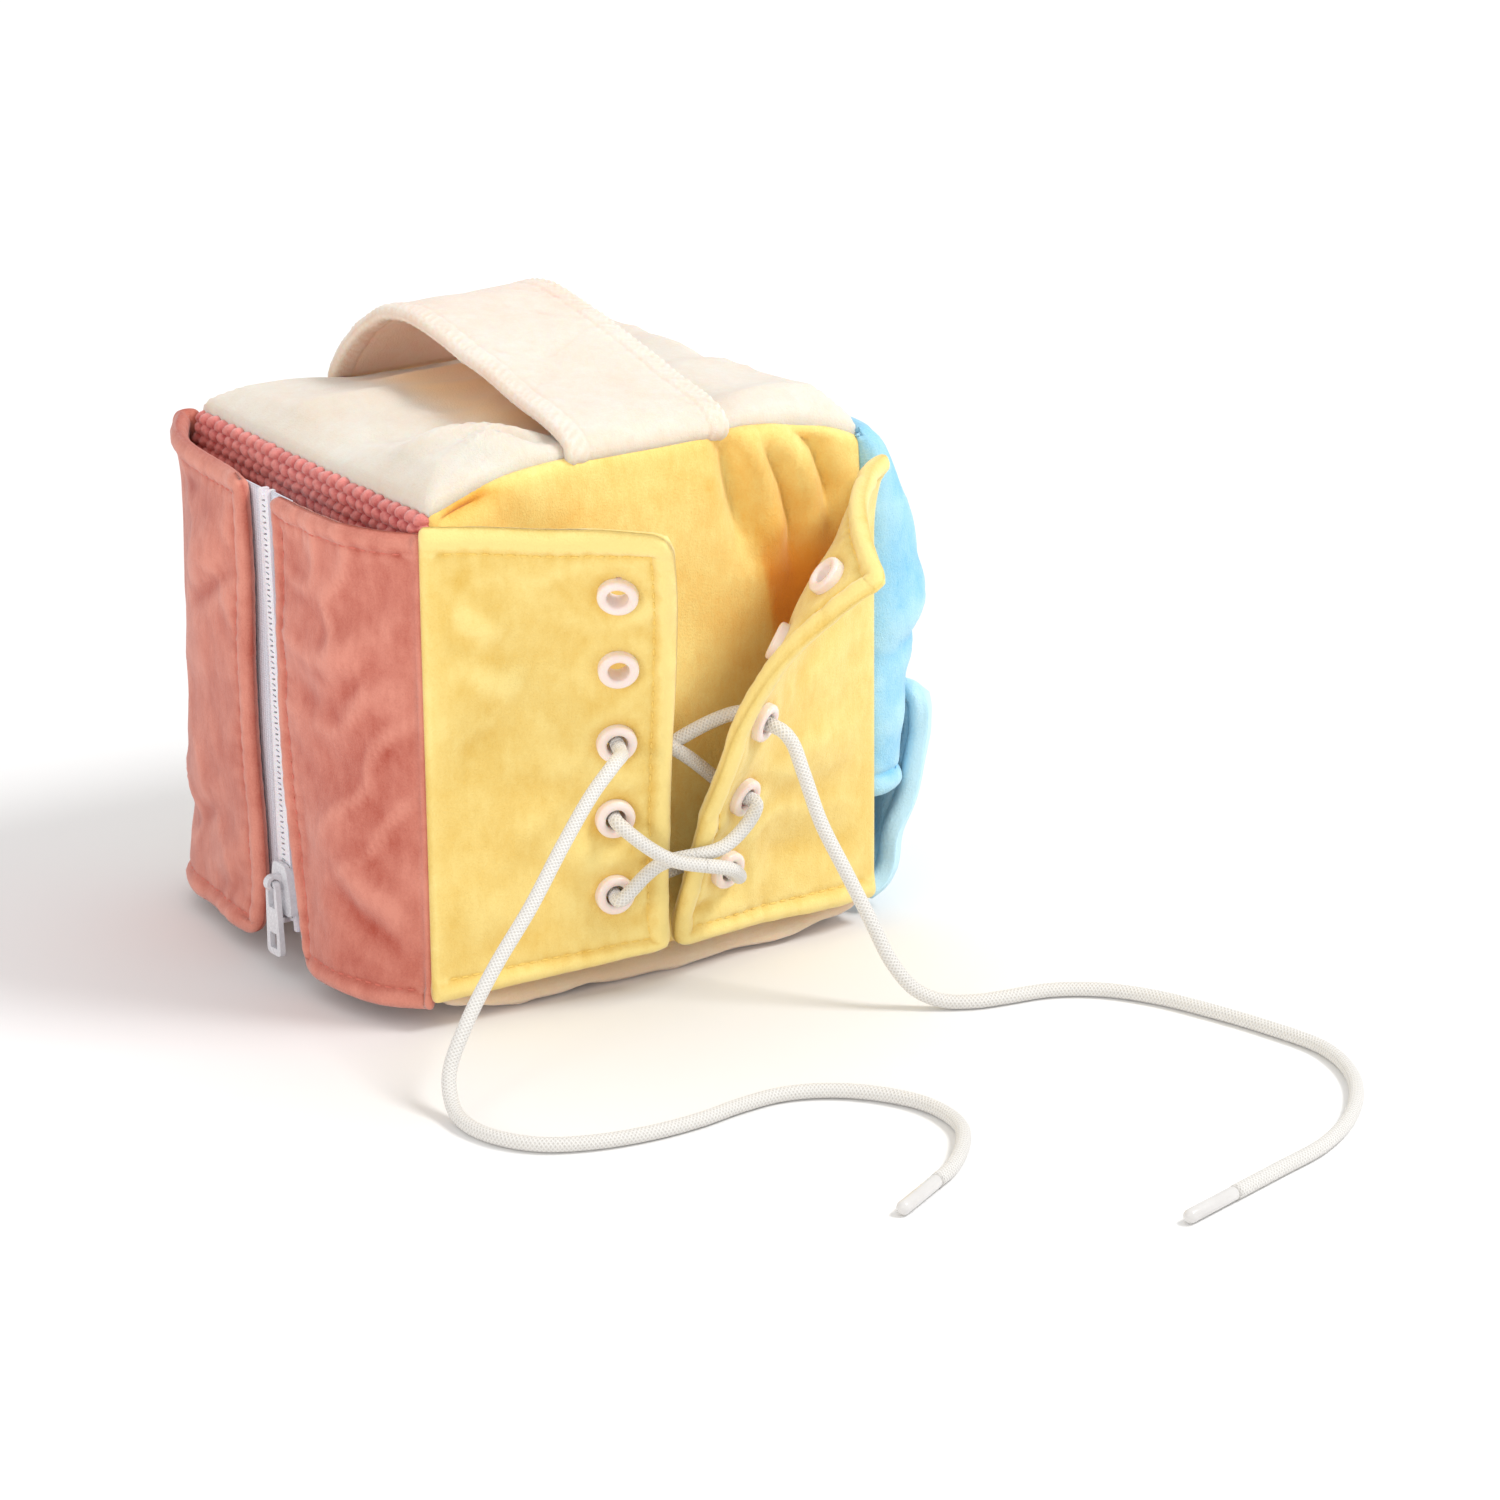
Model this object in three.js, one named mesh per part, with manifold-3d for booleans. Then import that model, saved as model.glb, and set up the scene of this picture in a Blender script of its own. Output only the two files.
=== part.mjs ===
// A soft activity block: a stuffed fabric cube with a zip side, a lacing side, a side with two
// overlapping flaps and a carrying strap on top.
// Millimetres, +Z up. The lacing side faces -Y, the zip side -X, the overlapping flaps +X.
// The origin is in the middle of the flat that the block rests on.

import * as THREE from "three";
import { mergeVertices } from "three/addons/utils/BufferGeometryUtils.js";
import Module from "manifold-3d";

const wasm = await Module();
wasm.setup();

// Driving sizes

const gap = 0.3; // kept between pieces that touch on the real block
const overrun = 2; // how far a cutter runs past what it cuts

const block = {
  width: 143, // between the side seams, along X
  depth: 135, // between the front and back seams, along Y
  height: 140, // between the bottom and top seams, along Z
  fabric: 2.2, // a panel of backed short pile
  crownZip: 2, // how far the stuffing bulges each face past its seams
  crownBlue: 2,
  crownLacing: 1,
  crownBack: 5,
  crownTop: 4,
  crownBottom: 6,
  strapEdgeBow: 8, // how far the strap lifts the seam that it is sewn into
  footFlat: 0.5, // depth by which the bottom is pressed flat
  facePower: 2.5, // how square a crown stays towards its seams
  footPower: 4,
};

const strap = {
  width: 52,
  offset: -1, // of its middle from the block's middle, along X
  thickness: 3.4,
  edgeThickness: 4.2,
  hem: 7,
  rise: 29, // of the arch's top above the top seam
};

const zip = {
  stand: 11.7, // of the tape in front of the zip side's seams
  footY: -6,
  topY: -1,
  footZ: 10, // where the tape starts
  topZ: 142,
  tapeWidth: 12, // of one half
  tapeThickness: 0.6,
  beadHalf: 2.6, // from the closed line to the outer side of a row of teeth
  beadWidth: 1.6,
  toothReach: 1, // how far a tooth passes the closed line
  toothPitch: 3.2,
  toothNeck: 0.9,
  toothHead: 1.5,
  toothThickness: 2.6,
  toothStart: 2, // of the first tooth above the tape's end
  topStop: 3, // of the last tooth below the tape's other end
  spreadAtSlider: 2.3, // how far a row is pushed aside at the slider's wide end
  spreadPower: 0.7,
};

const slider = {
  height: 24, // of its middle above the floor
  length: 15,
  topHalf: 3.8,
  footHalf: 5.8,
  plate: 1.4,
  rim: 0.6,
  slot: 1.6, // between the rims, for the tape
  wedgeHalf: 0.8,
  corner: 2,
  lugWidth: 2.4,
  lugRadius: 2.4,
  lugHole: 1.4,
  lugUp: 2, // of the lug's hole above the slider's middle
  lugOut: 2.2, // of the lug's hole in front of the plate
};

const pull = {
  length: 22,
  topHalf: 2.9,
  footHalf: 4,
  thickness: 1.6,
  barHalf: 0.8,
  eyeHalf: 1.75,
  eyeLength: 6.4,
  windowHalf: 1.9,
  windowLength: 4.6,
  windowUp: 2, // of the window above the pull's end
};

const zipFlap = {
  thickness: 3,
  hemThickness: 3.8,
  hem: 6,
  bulge: 13, // past the seams, at the zip
  bulgePower: 5,
  reveal: 7.5, // of its edge from the zip's closed line
  flare: 7, // by which the edges draw apart at the bottom
  flarePower: 9,
  bottom: 5,
  top: 141,
};

const lacingFlap = {
  bottom: 8,
  top: 141.5,
  thickness: 3,
  hemThickness: 3.8,
  hem: 6.5,
};

const eyelet = {
  bore: 2.9,
  barrel: 3.5,
  flange: 5.6,
  flangeThickness: 1,
  edge: 0.4,
  inset: 16.5, // of its middle from the flap's free edge
  first: 17.5, // of the topmost below the flap's top
  pitch: 23.2,
};
const eyeletCount = 5;

const lace = {
  diameter: 4,
  agletDiameter: 3.8,
  agletLength: 20,
  start: 3, // of the free stretch outside its eyelet's middle
  archRise: 3.5, // of the two strands that cross behind the flaps
  // How far towards the next eyelet a strand has gone where it passes its flap's edge
  downShare: 0.27,
  upShare: 0.57,
};

const blueFlap = {
  thickness: 4,
  hemThickness: 4.6,
  hem: 7,
};

const patch = {
  thickness: 1.5,
  height: 13.4,
  length: 80,
  corner: 3,
  middleZ: 55.6,
};

// Shared measures

const half = new THREE.Vector3(block.width, block.depth, block.height).multiplyScalar(1 / 2);
const bottomSeam = block.crownBottom - block.footFlat;
const middleZ = bottomSeam + half.z;
const topSeam = bottomSeam + block.height;
const zipPlane = half.x + zip.stand;
const degree = Math.PI / 180;
const roundSegments = 12;

const coral = { color: 0xd8826f, roughness: 0.9, metalness: 0 };
const chenille = { color: 0xcf6d72, roughness: 1, metalness: 0 };
const yellow = { color: 0xf4d873, roughness: 0.9, metalness: 0 };
const blue = { color: 0x86ccf0, roughness: 0.9, metalness: 0 };
const cream = { color: 0xf4ecdd, roughness: 0.9, metalness: 0 };
const foam = { color: 0xf0ede6, roughness: 1, metalness: 0 };
const white = { color: 0xf7f4ef, roughness: 0.8, metalness: 0 };
const tapeWhite = { color: 0xdedce2, roughness: 0.7, metalness: 0 };
const toothWhite = { color: 0xe6e4ea, roughness: 0.35, metalness: 0 };
const enamel = { color: 0xd8d8dc, roughness: 0.35, metalness: 0 };
const eyeletWhite = { color: 0xf1e2dc, roughness: 0.3, metalness: 0 };
const clear = { color: 0xd9d9dc, roughness: 0.2, metalness: 0 };

const part = new THREE.Group();

function addMesh(parent, name, geometry, finish) {
  const mesh = new THREE.Mesh(geometry, new THREE.MeshStandardMaterial(finish));
  mesh.name = name;
  parent.add(mesh);
  return mesh;
}

function mix(a, b, share) {
  return a + (b - a) * share;
}

// Solids and cuts

function facingOut(geometry) {
  const index = geometry.index.array;
  const at = geometry.getAttribute("position");
  const [a, b, c] = [new THREE.Vector3(), new THREE.Vector3(), new THREE.Vector3()];
  let volume = 0;
  for (let i = 0; i < index.length; i += 3) {
    a.fromBufferAttribute(at, index[i]);
    b.fromBufferAttribute(at, index[i + 1]);
    c.fromBufferAttribute(at, index[i + 2]);
    volume += a.dot(b.cross(c));
  }
  if (volume < 0) {
    for (let i = 0; i < index.length; i += 3) {
      [index[i + 1], index[i + 2]] = [index[i + 2], index[i + 1]];
    }
  }
  return geometry;
}

function welded(geometry) {
  geometry.deleteAttribute("normal");
  geometry.deleteAttribute("uv");
  return facingOut(mergeVertices(geometry, gap / 1000));
}

function toSolid(geometry) {
  const mesh = new wasm.Mesh({
    numProp: 3,
    vertProperties: new Float32Array(geometry.getAttribute("position").array),
    triVerts: new Uint32Array(geometry.index.array),
  });
  return new wasm.Manifold(mesh);
}

function toGeometry(solid) {
  const mesh = solid.getMesh();
  const geometry = new THREE.BufferGeometry();
  geometry.setAttribute("position", new THREE.BufferAttribute(mesh.vertProperties, 3));
  geometry.setIndex(new THREE.BufferAttribute(mesh.triVerts, 1));
  return geometry;
}

// Closes two skins of the same grid with a rim, which may have a ring of its own between them.
function closedSkins(front, back, ring) {
  const columns = front.length;
  const rows = front[0].length;
  const points = [...front.flat(), ...back.flat()];
  const faces = [];
  const at = (layer, i, j) => layer * columns * rows + i * rows + j;
  for (let i = 0; i + 1 < columns; i += 1) {
    for (let j = 0; j + 1 < rows; j += 1) {
      const f = [at(0, i, j), at(0, i + 1, j), at(0, i + 1, j + 1), at(0, i, j + 1)];
      const b = [at(1, i, j), at(1, i, j + 1), at(1, i + 1, j + 1), at(1, i + 1, j)];
      faces.push([f[0], f[1], f[2]], [f[0], f[2], f[3]], [b[0], b[1], b[2]], [b[0], b[2], b[3]]);
    }
  }
  const loop = [];
  for (let i = 0; i + 1 < columns; i += 1) loop.push([i, 0]);
  for (let j = 0; j + 1 < rows; j += 1) loop.push([columns - 1, j]);
  for (let i = columns - 1; i > 0; i -= 1) loop.push([i, rows - 1]);
  for (let j = rows - 1; j > 0; j -= 1) loop.push([0, j]);
  const ringStart = points.length;
  if (ring) points.push(...loop.map(([i, j]) => ring(i, j)));
  loop.forEach(([i, j], k) => {
    const next = (k + 1) % loop.length;
    const [m, n] = loop[next];
    const levels = [
      [at(0, i, j), at(0, m, n)],
      ...(ring ? [[ringStart + k, ringStart + next]] : []),
      [at(1, i, j), at(1, m, n)],
    ];
    for (let level = 0; level + 1 < levels.length; level += 1) {
      const [a, b] = levels[level];
      const [c, d] = levels[level + 1];
      faces.push([b, a, c], [b, c, d]);
    }
  });
  const geometry = new THREE.BufferGeometry();
  geometry.setAttribute("position", new THREE.Float32BufferAttribute(points.flatMap((p) => p.toArray()), 3));
  geometry.setIndex(faces.flat());
  return facingOut(geometry);
}

// A soft sheet about the surface pointAt, with a rounded rim.
function softSheet(pointAt, us, vs, thicknessAt) {
  const step = 1e-3;
  const rimShare = 0.35;
  const middle = us.map((u) => vs.map((v) => pointAt(u, v)));
  const normals = us.map((u) =>
    vs.map((v) => {
      const alongU = pointAt(u + step, v).sub(pointAt(u - step, v));
      const alongV = pointAt(u, v + step).sub(pointAt(u, v - step));
      return alongU.cross(alongV).normalize();
    }),
  );
  const skin = (side) =>
    middle.map((row, i) =>
      row.map((p, j) => p.clone().addScaledVector(normals[i][j], (side * thicknessAt(us[i], vs[j])) / 2)),
    );
  const last = [us.length - 1, vs.length - 1];
  const ring = (i, j) => {
    const out = new THREE.Vector3();
    const p = middle[i][j];
    if (i === 0 || i === last[0]) out.add(p.clone().sub(middle[i === 0 ? 1 : i - 1][j]).normalize());
    if (j === 0 || j === last[1]) out.add(p.clone().sub(middle[i][j === 0 ? 1 : j - 1]).normalize());
    return p.clone().addScaledVector(out.normalize(), rimShare * thicknessAt(us[i], vs[j]));
  };
  return closedSkins(skin(1), skin(-1), ring);
}

function evenShares(count) {
  return Array.from({ length: count + 1 }, (_, i) => i / count);
}

// Even shares between two hems, each hem with its own line and a stitch groove beside it.
function hemmedShares(count, lowHem, highHem, groove) {
  const low = lowHem ? [0, lowHem / 2, lowHem] : [0];
  const high = highHem ? [1 - highHem, 1 - highHem / 2, 1] : [1];
  const start = lowHem ? lowHem + groove : 0;
  const end = highHem ? 1 - highHem - groove : 1;
  const inner = evenShares(count).map((share) => mix(start, end, share));
  return [...low, ...inner.slice(lowHem ? 0 : 1, highHem ? undefined : -1), ...high];
}

function cylinderAlong(radius, from, to, segments) {
  const axis = to.clone().sub(from);
  const geometry = new THREE.CylinderGeometry(radius, radius, axis.length(), segments);
  const turn = new THREE.Quaternion().setFromUnitVectors(new THREE.Vector3(0, 1, 0), axis.clone().normalize());
  geometry.applyQuaternion(turn);
  const middle = from.clone().add(to).multiplyScalar(1 / 2);
  geometry.translate(...middle.toArray());
  return toSolid(welded(geometry));
}

function extruded(shape, depth, segments) {
  const options = { depth, bevelEnabled: false, curveSegments: segments ?? roundSegments / 3 };
  return new THREE.ExtrudeGeometry(shape, options);
}

function polygon(points) {
  return new THREE.Shape(points.map(([x, y]) => new THREE.Vector2(x, y)));
}

// Stuffed body

// Swells a point of the plain box, measured from the box's middle, to the stuffed block.
function stuffed(x, y, z) {
  const [u, v, w] = [x / half.x, y / half.y, z / half.z];
  const swell = (a, b, power) => (1 - Math.abs(a) ** power) * (1 - Math.abs(b) ** power);
  const atX = (u < 0 ? block.crownZip : block.crownBlue) * u * swell(v, w, block.facePower);
  const atY = (v < 0 ? block.crownLacing : block.crownBack) * v * swell(u, w, block.facePower);
  const crownZ = w < 0 ? block.crownBottom : block.crownTop;
  const atZ = crownZ * w * swell(u, v, w < 0 ? block.footPower : block.facePower);
  const bow = block.strapEdgeBow * Math.max(w, 0) * Math.max(-v, 0) ** 2 * (1 - u * u);
  return new THREE.Vector3(x + atX, y + atY, Math.max(middleZ + z + atZ + bow, 0));
}

// One face's fabric, mitred along its seams: axis 0, 1 or 2 and side -1 or 1 name the face.
function panelGeometry(axis, side) {
  const cells = 8;
  const mitre = gap * Math.SQRT1_2;
  const sizes = half.toArray();
  const [a, b] = [(axis + 1) % 3, (axis + 2) % 3];
  const skin = (depth) =>
    evenShares(cells).map((u) =>
      evenShares(cells).map((v) => {
        const point = [0, 0, 0];
        point[axis] = side * (sizes[axis] - depth);
        point[a] = (2 * u - 1) * (sizes[a] - depth - mitre);
        point[b] = (2 * v - 1) * (sizes[b] - depth - mitre);
        return stuffed(...point);
      }),
    );
  return closedSkins(skin(0), skin(block.fabric));
}

function coreGeometry() {
  const cells = 8;
  const size = half.clone().subScalar(block.fabric + 4 * gap).multiplyScalar(2);
  const geometry = welded(new THREE.BoxGeometry(...size.toArray(), cells, cells, cells));
  const at = geometry.getAttribute("position");
  for (let i = 0; i < at.count; i += 1) {
    const p = stuffed(at.getX(i), at.getY(i), at.getZ(i));
    at.setXYZ(i, ...p.toArray());
  }
  return geometry;
}

function addBody() {
  addMesh(part, "stuffing_core", coreGeometry(), foam);
  addMesh(part, "zip_backing_panel", panelGeometry(0, -1), chenille);
  addMesh(part, "blue_backing_panel", panelGeometry(0, 1), blue);
  addMesh(part, "lacing_backing_panel", panelGeometry(1, -1), yellow);
  addMesh(part, "back_panel", panelGeometry(1, 1), cream);
  addMesh(part, "bottom_panel", panelGeometry(2, -1), cream);
  addMesh(part, "top_panel", panelGeometry(2, 1), cream);
}

// Carrying strap

// Shares of the block's half depth and of the strap's rise, from the front seam to the back one.
const strapRouteShares = [
  [-0.53, 0.655],
  [0, 0.905],
  [0.33, 1],
  [0.52, 0.93],
  [0.74, 0.65],
  [0.89, 0.32],
];

function addStrap() {
  const seat = gap + strap.edgeThickness / 2;
  const endShare = 0.975;
  const front = [-endShare * half.y, topSeam + block.strapEdgeBow + seat];
  const back = [endShare * half.y, topSeam + seat];
  const arch = strapRouteShares.map(([along, up]) => [along * half.y, topSeam + strap.rise * up]);
  const route = [front, ...arch, back].map(([y, z]) => new THREE.Vector3(0, y, z));
  const curve = new THREE.CatmullRomCurve3(route);
  const pointAt = (u, v) => {
    const p = curve.getPoint(Math.min(Math.max(v, 0), 1));
    if (v < 0) p.addScaledVector(curve.getTangent(0), v * block.depth);
    if (v > 1) p.addScaledVector(curve.getTangent(1), (v - 1) * block.depth);
    p.x = strap.offset + strap.width * (u - 1 / 2);
    return p;
  };
  const hemShare = strap.hem / strap.width;
  const groove = 0.02;
  const thicknessAt = (u) => (Math.min(u, 1 - u) <= hemShare ? strap.edgeThickness : strap.thickness);
  const geometry = softSheet(pointAt, hemmedShares(1, hemShare, hemShare, groove), evenShares(14), thicknessAt);
  addMesh(part, "top_strap", geometry, cream);
}

// Zip side

function zipLineY(z) {
  return mix(zip.footY, zip.topY, (z - zip.footZ) / (zip.topZ - zip.footZ));
}

// The zip is built about its closed line: x towards the back, y outwards, z up the zip.
const zipLength = zip.topZ - zip.footZ;
const zipMiddleZ = (zip.topZ + zip.footZ) / 2;
const zipGroup = new THREE.Group();
zipGroup.position.set(-zipPlane, zipLineY(zipMiddleZ), zipMiddleZ);
zipGroup.rotation.set(-Math.atan2(zip.topY - zip.footY, zipLength), 0, Math.PI / 2);
part.add(zipGroup);

const sliderZ = slider.height - zipMiddleZ;

// How far a row of teeth stands off the closed line, at a height of the zip.
function rowSpread(z) {
  const below = (sliderZ + slider.length / 2 - z) / slider.length;
  return zip.spreadAtSlider * Math.max(below, 0) ** zip.spreadPower;
}

const zipBendShares = [0, 0.03, 0.06, 0.09, 0.12, 0.5, 1];
const zipBends = zipBendShares.map((share) => mix(-zipLength / 2, zipLength / 2, share));

function bentRow(geometry, side) {
  const at = geometry.getAttribute("position");
  for (let i = 0; i < at.count; i += 1) {
    const [across, along, depth] = [at.getX(i), at.getY(i), at.getZ(i)];
    at.setXYZ(i, side * (across + rowSpread(along)), depth, along);
  }
  return facingOut(geometry);
}

// One row of dovetail teeth on its bead. The other row's teeth fill the spaces between its own.
function teethGeometry(side) {
  const start = -zipLength / 2 + zip.toothStart;
  const end = zipLength / 2 - zip.topStop;
  const count = Math.floor((end - start) / zip.toothPitch - 1 / 2);
  const root = zip.beadHalf - zip.beadWidth;
  const headShare = 0.35;
  const points = [
    [zip.beadHalf, start],
    [root, start],
  ];
  for (let i = 0; i < count; i += 1) {
    const z = start + zip.toothPitch * (i + (side > 0 ? 1 : 2) / 2);
    points.push(
      [root, z - zip.toothNeck / 2],
      [mix(root, -zip.toothReach, headShare), z - zip.toothNeck / 2],
      [-zip.toothReach, z - zip.toothHead / 2],
      [-zip.toothReach, z + zip.toothHead / 2],
      [mix(root, -zip.toothReach, headShare), z + zip.toothNeck / 2],
      [root, z + zip.toothNeck / 2],
    );
  }
  points.push([root, end], [zip.beadHalf, end]);
  const bends = zipBends.filter((z) => z > start && z < end).reverse();
  points.push(...bends.map((z) => [zip.beadHalf, z]));
  const geometry = extruded(polygon(points), zip.toothThickness);
  geometry.translate(0, 0, -zip.toothThickness / 2);
  return bentRow(welded(geometry), side);
}

function tapeGeometry(side) {
  const inner = zip.beadHalf + gap;
  const pointAt = (u, v) => {
    const z = mix(-zipLength / 2, zipLength / 2, v);
    const x = mix(inner + rowSpread(z), zip.tapeWidth + rowSpread(z), u);
    return new THREE.Vector3(side * x, 0, z);
  };
  return softSheet(pointAt, evenShares(1), zipBendShares, () => zip.tapeThickness);
}

// Half widths of the slider at its narrow top and wide bottom, less an inset on each side.
function sliderOutline(inset, extra) {
  const top = slider.length / 2 + extra;
  const foot = -slider.length / 2 - extra;
  const topHalf = slider.topHalf - inset;
  const footHalf = slider.footHalf - inset;
  return [
    [-footHalf, foot],
    [footHalf, foot],
    [footHalf, foot + (extra + slider.length) / 3],
    [topHalf, top],
    [-topHalf, top],
    [-footHalf, foot + (extra + slider.length) / 3],
  ];
}

function roundedShape(points, radius) {
  const shape = new THREE.Shape();
  points.forEach(([x, y], i) => {
    const corner = new THREE.Vector2(x, y);
    const before = new THREE.Vector2(...points[(i + points.length - 1) % points.length]);
    const after = new THREE.Vector2(...points[(i + 1) % points.length]);
    const reach = Math.min(radius, corner.distanceTo(before) / 3, corner.distanceTo(after) / 3);
    const start = before.sub(corner).setLength(reach).add(corner);
    const end = after.sub(corner).setLength(reach).add(corner);
    if (i === 0) shape.moveTo(start.x, start.y);
    else shape.lineTo(start.x, start.y);
    shape.quadraticCurveTo(corner.x, corner.y, end.x, end.y);
  });
  shape.closePath();
  return shape;
}

// A flat outline in the zip's x and z, between two distances from the tape.
function zipSlab(shape, from, to, segments = 2) {
  const geometry = extruded(shape, to - from, segments);
  geometry.rotateX(Math.PI / 2);
  geometry.translate(0, to, 0);
  return toSolid(welded(geometry));
}

function sliderGeometry() {
  const channel = zip.toothThickness / 2 + gap;
  const face = channel + slider.plate;
  const wedge = polygon([
    [-slider.wedgeHalf, -slider.length / 2],
    [slider.wedgeHalf, -slider.length / 2],
    [0, 0],
  ]);
  const body = zipSlab(roundedShape(sliderOutline(0, 0), slider.corner), -face, face)
    .subtract(zipSlab(polygon(sliderOutline(slider.rim, overrun)), -channel, channel))
    .subtract(zipSlab(polygon(sliderOutline(-overrun, overrun)), -slider.slot / 2, slider.slot / 2))
    .add(zipSlab(wedge, -channel - slider.plate / 2, channel + slider.plate / 2));
  const lug = new THREE.Shape();
  const seat = -slider.lugOut - slider.plate / 2;
  lug.moveTo(-slider.lugRadius, seat);
  lug.lineTo(slider.lugRadius, seat);
  lug.lineTo(slider.lugRadius, 0);
  lug.absarc(0, 0, slider.lugRadius, 0, Math.PI, false);
  lug.closePath();
  const hole = new THREE.Path();
  hole.absarc(0, 0, slider.lugHole, 0, 2 * Math.PI, true);
  lug.holes.push(hole);
  const geometry = extruded(lug, slider.lugWidth);
  geometry.translate(0, 0, -slider.lugWidth / 2);
  // The lug's outline lies in the zip's z and y, so its axes are swapped into place.
  geometry.applyMatrix4(new THREE.Matrix4().set(0, 0, 1, 0, 0, 1, 0, 0, 1, 0, 0, 0, 0, 0, 0, 1));
  geometry.translate(0, face + slider.lugOut, slider.lugUp);
  return toGeometry(body.add(toSolid(welded(geometry))));
}

// The pull hangs from the lug: its origin is the middle of its bar.
function pullGeometry() {
  const shape = roundedShape(
    [
      [-pull.topHalf, pull.barHalf],
      [-pull.footHalf, pull.barHalf - pull.length],
      [pull.footHalf, pull.barHalf - pull.length],
      [pull.topHalf, pull.barHalf],
    ],
    slider.corner,
  );
  const box = (halfWidth, top, length) =>
    new THREE.Path(
      [
        [-halfWidth, top],
        [halfWidth, top],
        [halfWidth, top - length],
        [-halfWidth, top - length],
      ].map(([x, y]) => new THREE.Vector2(x, y)),
    );
  const windowTop = pull.barHalf - pull.length + pull.windowUp + pull.windowLength;
  shape.holes.push(box(pull.eyeHalf, -pull.barHalf, pull.eyeLength));
  shape.holes.push(box(pull.windowHalf, windowTop, pull.windowLength));
  return toGeometry(zipSlab(shape, -pull.thickness / 2, pull.thickness / 2, 3));
}

// A coral flap, from its seam (u = 0) to its edge beside the zip (u = 1).
function zipFlapGeometry(side) {
  const seamInset = zipFlap.hemThickness / 2;
  const seamY = half.y - seamInset;
  const pointAt = (u, v) => {
    const z = mix(zipFlap.bottom, zipFlap.top, v);
    const flare = zipFlap.flare * Math.max(1 - v, 0) ** zipFlap.flarePower;
    const edge = zipLineY(z) + side * (zipFlap.reveal + flare);
    const y = mix(side * seamY, edge, (u * u + u) / 2);
    const bulge = zipFlap.bulge * (1 - Math.min(Math.abs(y) / seamY, 1) ** zipFlap.bulgePower);
    return new THREE.Vector3(-(half.x + seamInset + bulge), y, z);
  };
  const edgeHem = zipFlap.hem / (half.y - zipFlap.reveal) / 1.5;
  const endHem = zipFlap.hem / (zipFlap.top - zipFlap.bottom);
  const groove = 0.015;
  const thicknessAt = (u, v) =>
    u >= 1 - edgeHem || v <= endHem || v >= 1 - endHem ? zipFlap.hemThickness : zipFlap.thickness;
  return softSheet(
    pointAt,
    hemmedShares(6, 0, edgeHem, groove),
    hemmedShares(5, endHem, endHem, groove),
    thicknessAt,
  );
}

function addZipSide() {
  for (const [side, name] of [
    [1, "rear"],
    [-1, "front"],
  ]) {
    addMesh(part, "zip_flap_" + name, zipFlapGeometry(side), coral);
    addMesh(zipGroup, "zip_tape_" + name, tapeGeometry(side), tapeWhite);
    addMesh(zipGroup, "zip_teeth_" + name, teethGeometry(side), toothWhite);
  }
  const body = addMesh(zipGroup, "zip_slider", sliderGeometry(), enamel);
  body.position.z = sliderZ;
  const tab = addMesh(zipGroup, "zip_pull", pullGeometry(), enamel);
  const lugFace = zip.toothThickness / 2 + gap + slider.plate + slider.lugOut;
  tab.position.set(0, lugFace, sliderZ + slider.lugUp);
}

// Lacing side

// Angles by which the flaps stand open at their laced feet, and swing out further to their tops.
const leftFlap = {
  side: -1,
  width: half.x - 2.2,
  seamOut: 0.8, // of its sewn edge past the block's side
  taper: 0.05, // share by which its free edge draws in at the top
  foot: 8 * degree,
  swing: 32 * degree,
  swingPower: 2.2,
  swingEase: 0,
  footBend: 5 * degree,
  topBend: 7 * degree,
};
const rightFlap = {
  side: 1,
  width: half.x - 0.9,
  seamOut: -2.5,
  taper: 0,
  foot: 5 * degree,
  swing: 24 * degree,
  swingPower: 1.7,
  swingEase: 3,
  footBend: 5.5 * degree,
  topBend: 11.5 * degree,
  lapel: {
    turn: 60 * degree, // by which its upper free corner is turned out
    startShare: 0.67, // height on the free edge where it starts
    radius: 40,
    droop: 4.6,
  },
};
const flapHeight = lacingFlap.top - lacingFlap.bottom;

// The upper free corner rolls outwards about a line from the flap's top to its free edge.
function lapelPoint(flap, s, h) {
  const lapel = flap.lapel;
  const line = new THREE.Vector2(flap.width, (lapel.startShare - 1) * flapHeight).normalize();
  const across = -line.y * s + line.x * (h - flapHeight);
  const along = line.x * s + line.y * (h - flapHeight);
  const bendStart = (-lapel.radius * lapel.turn) / 2;
  const turned = Math.min(Math.max((across - bendStart) / lapel.radius, 0), lapel.turn);
  const past = Math.max(across - bendStart - lapel.radius * lapel.turn, 0);
  const flat =
    Math.min(across, bendStart) + lapel.radius * Math.sin(turned) + past * Math.cos(turned);
  return {
    reach: line.x * along - line.y * flat,
    height: flapHeight + line.y * along + line.x * flat,
    lift: lapel.radius * (1 - Math.cos(turned)) + past * Math.sin(turned),
    drop: lapel.droop * (Math.max(across, 0) / (-line.y * flap.width)) ** 2,
  };
}

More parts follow.
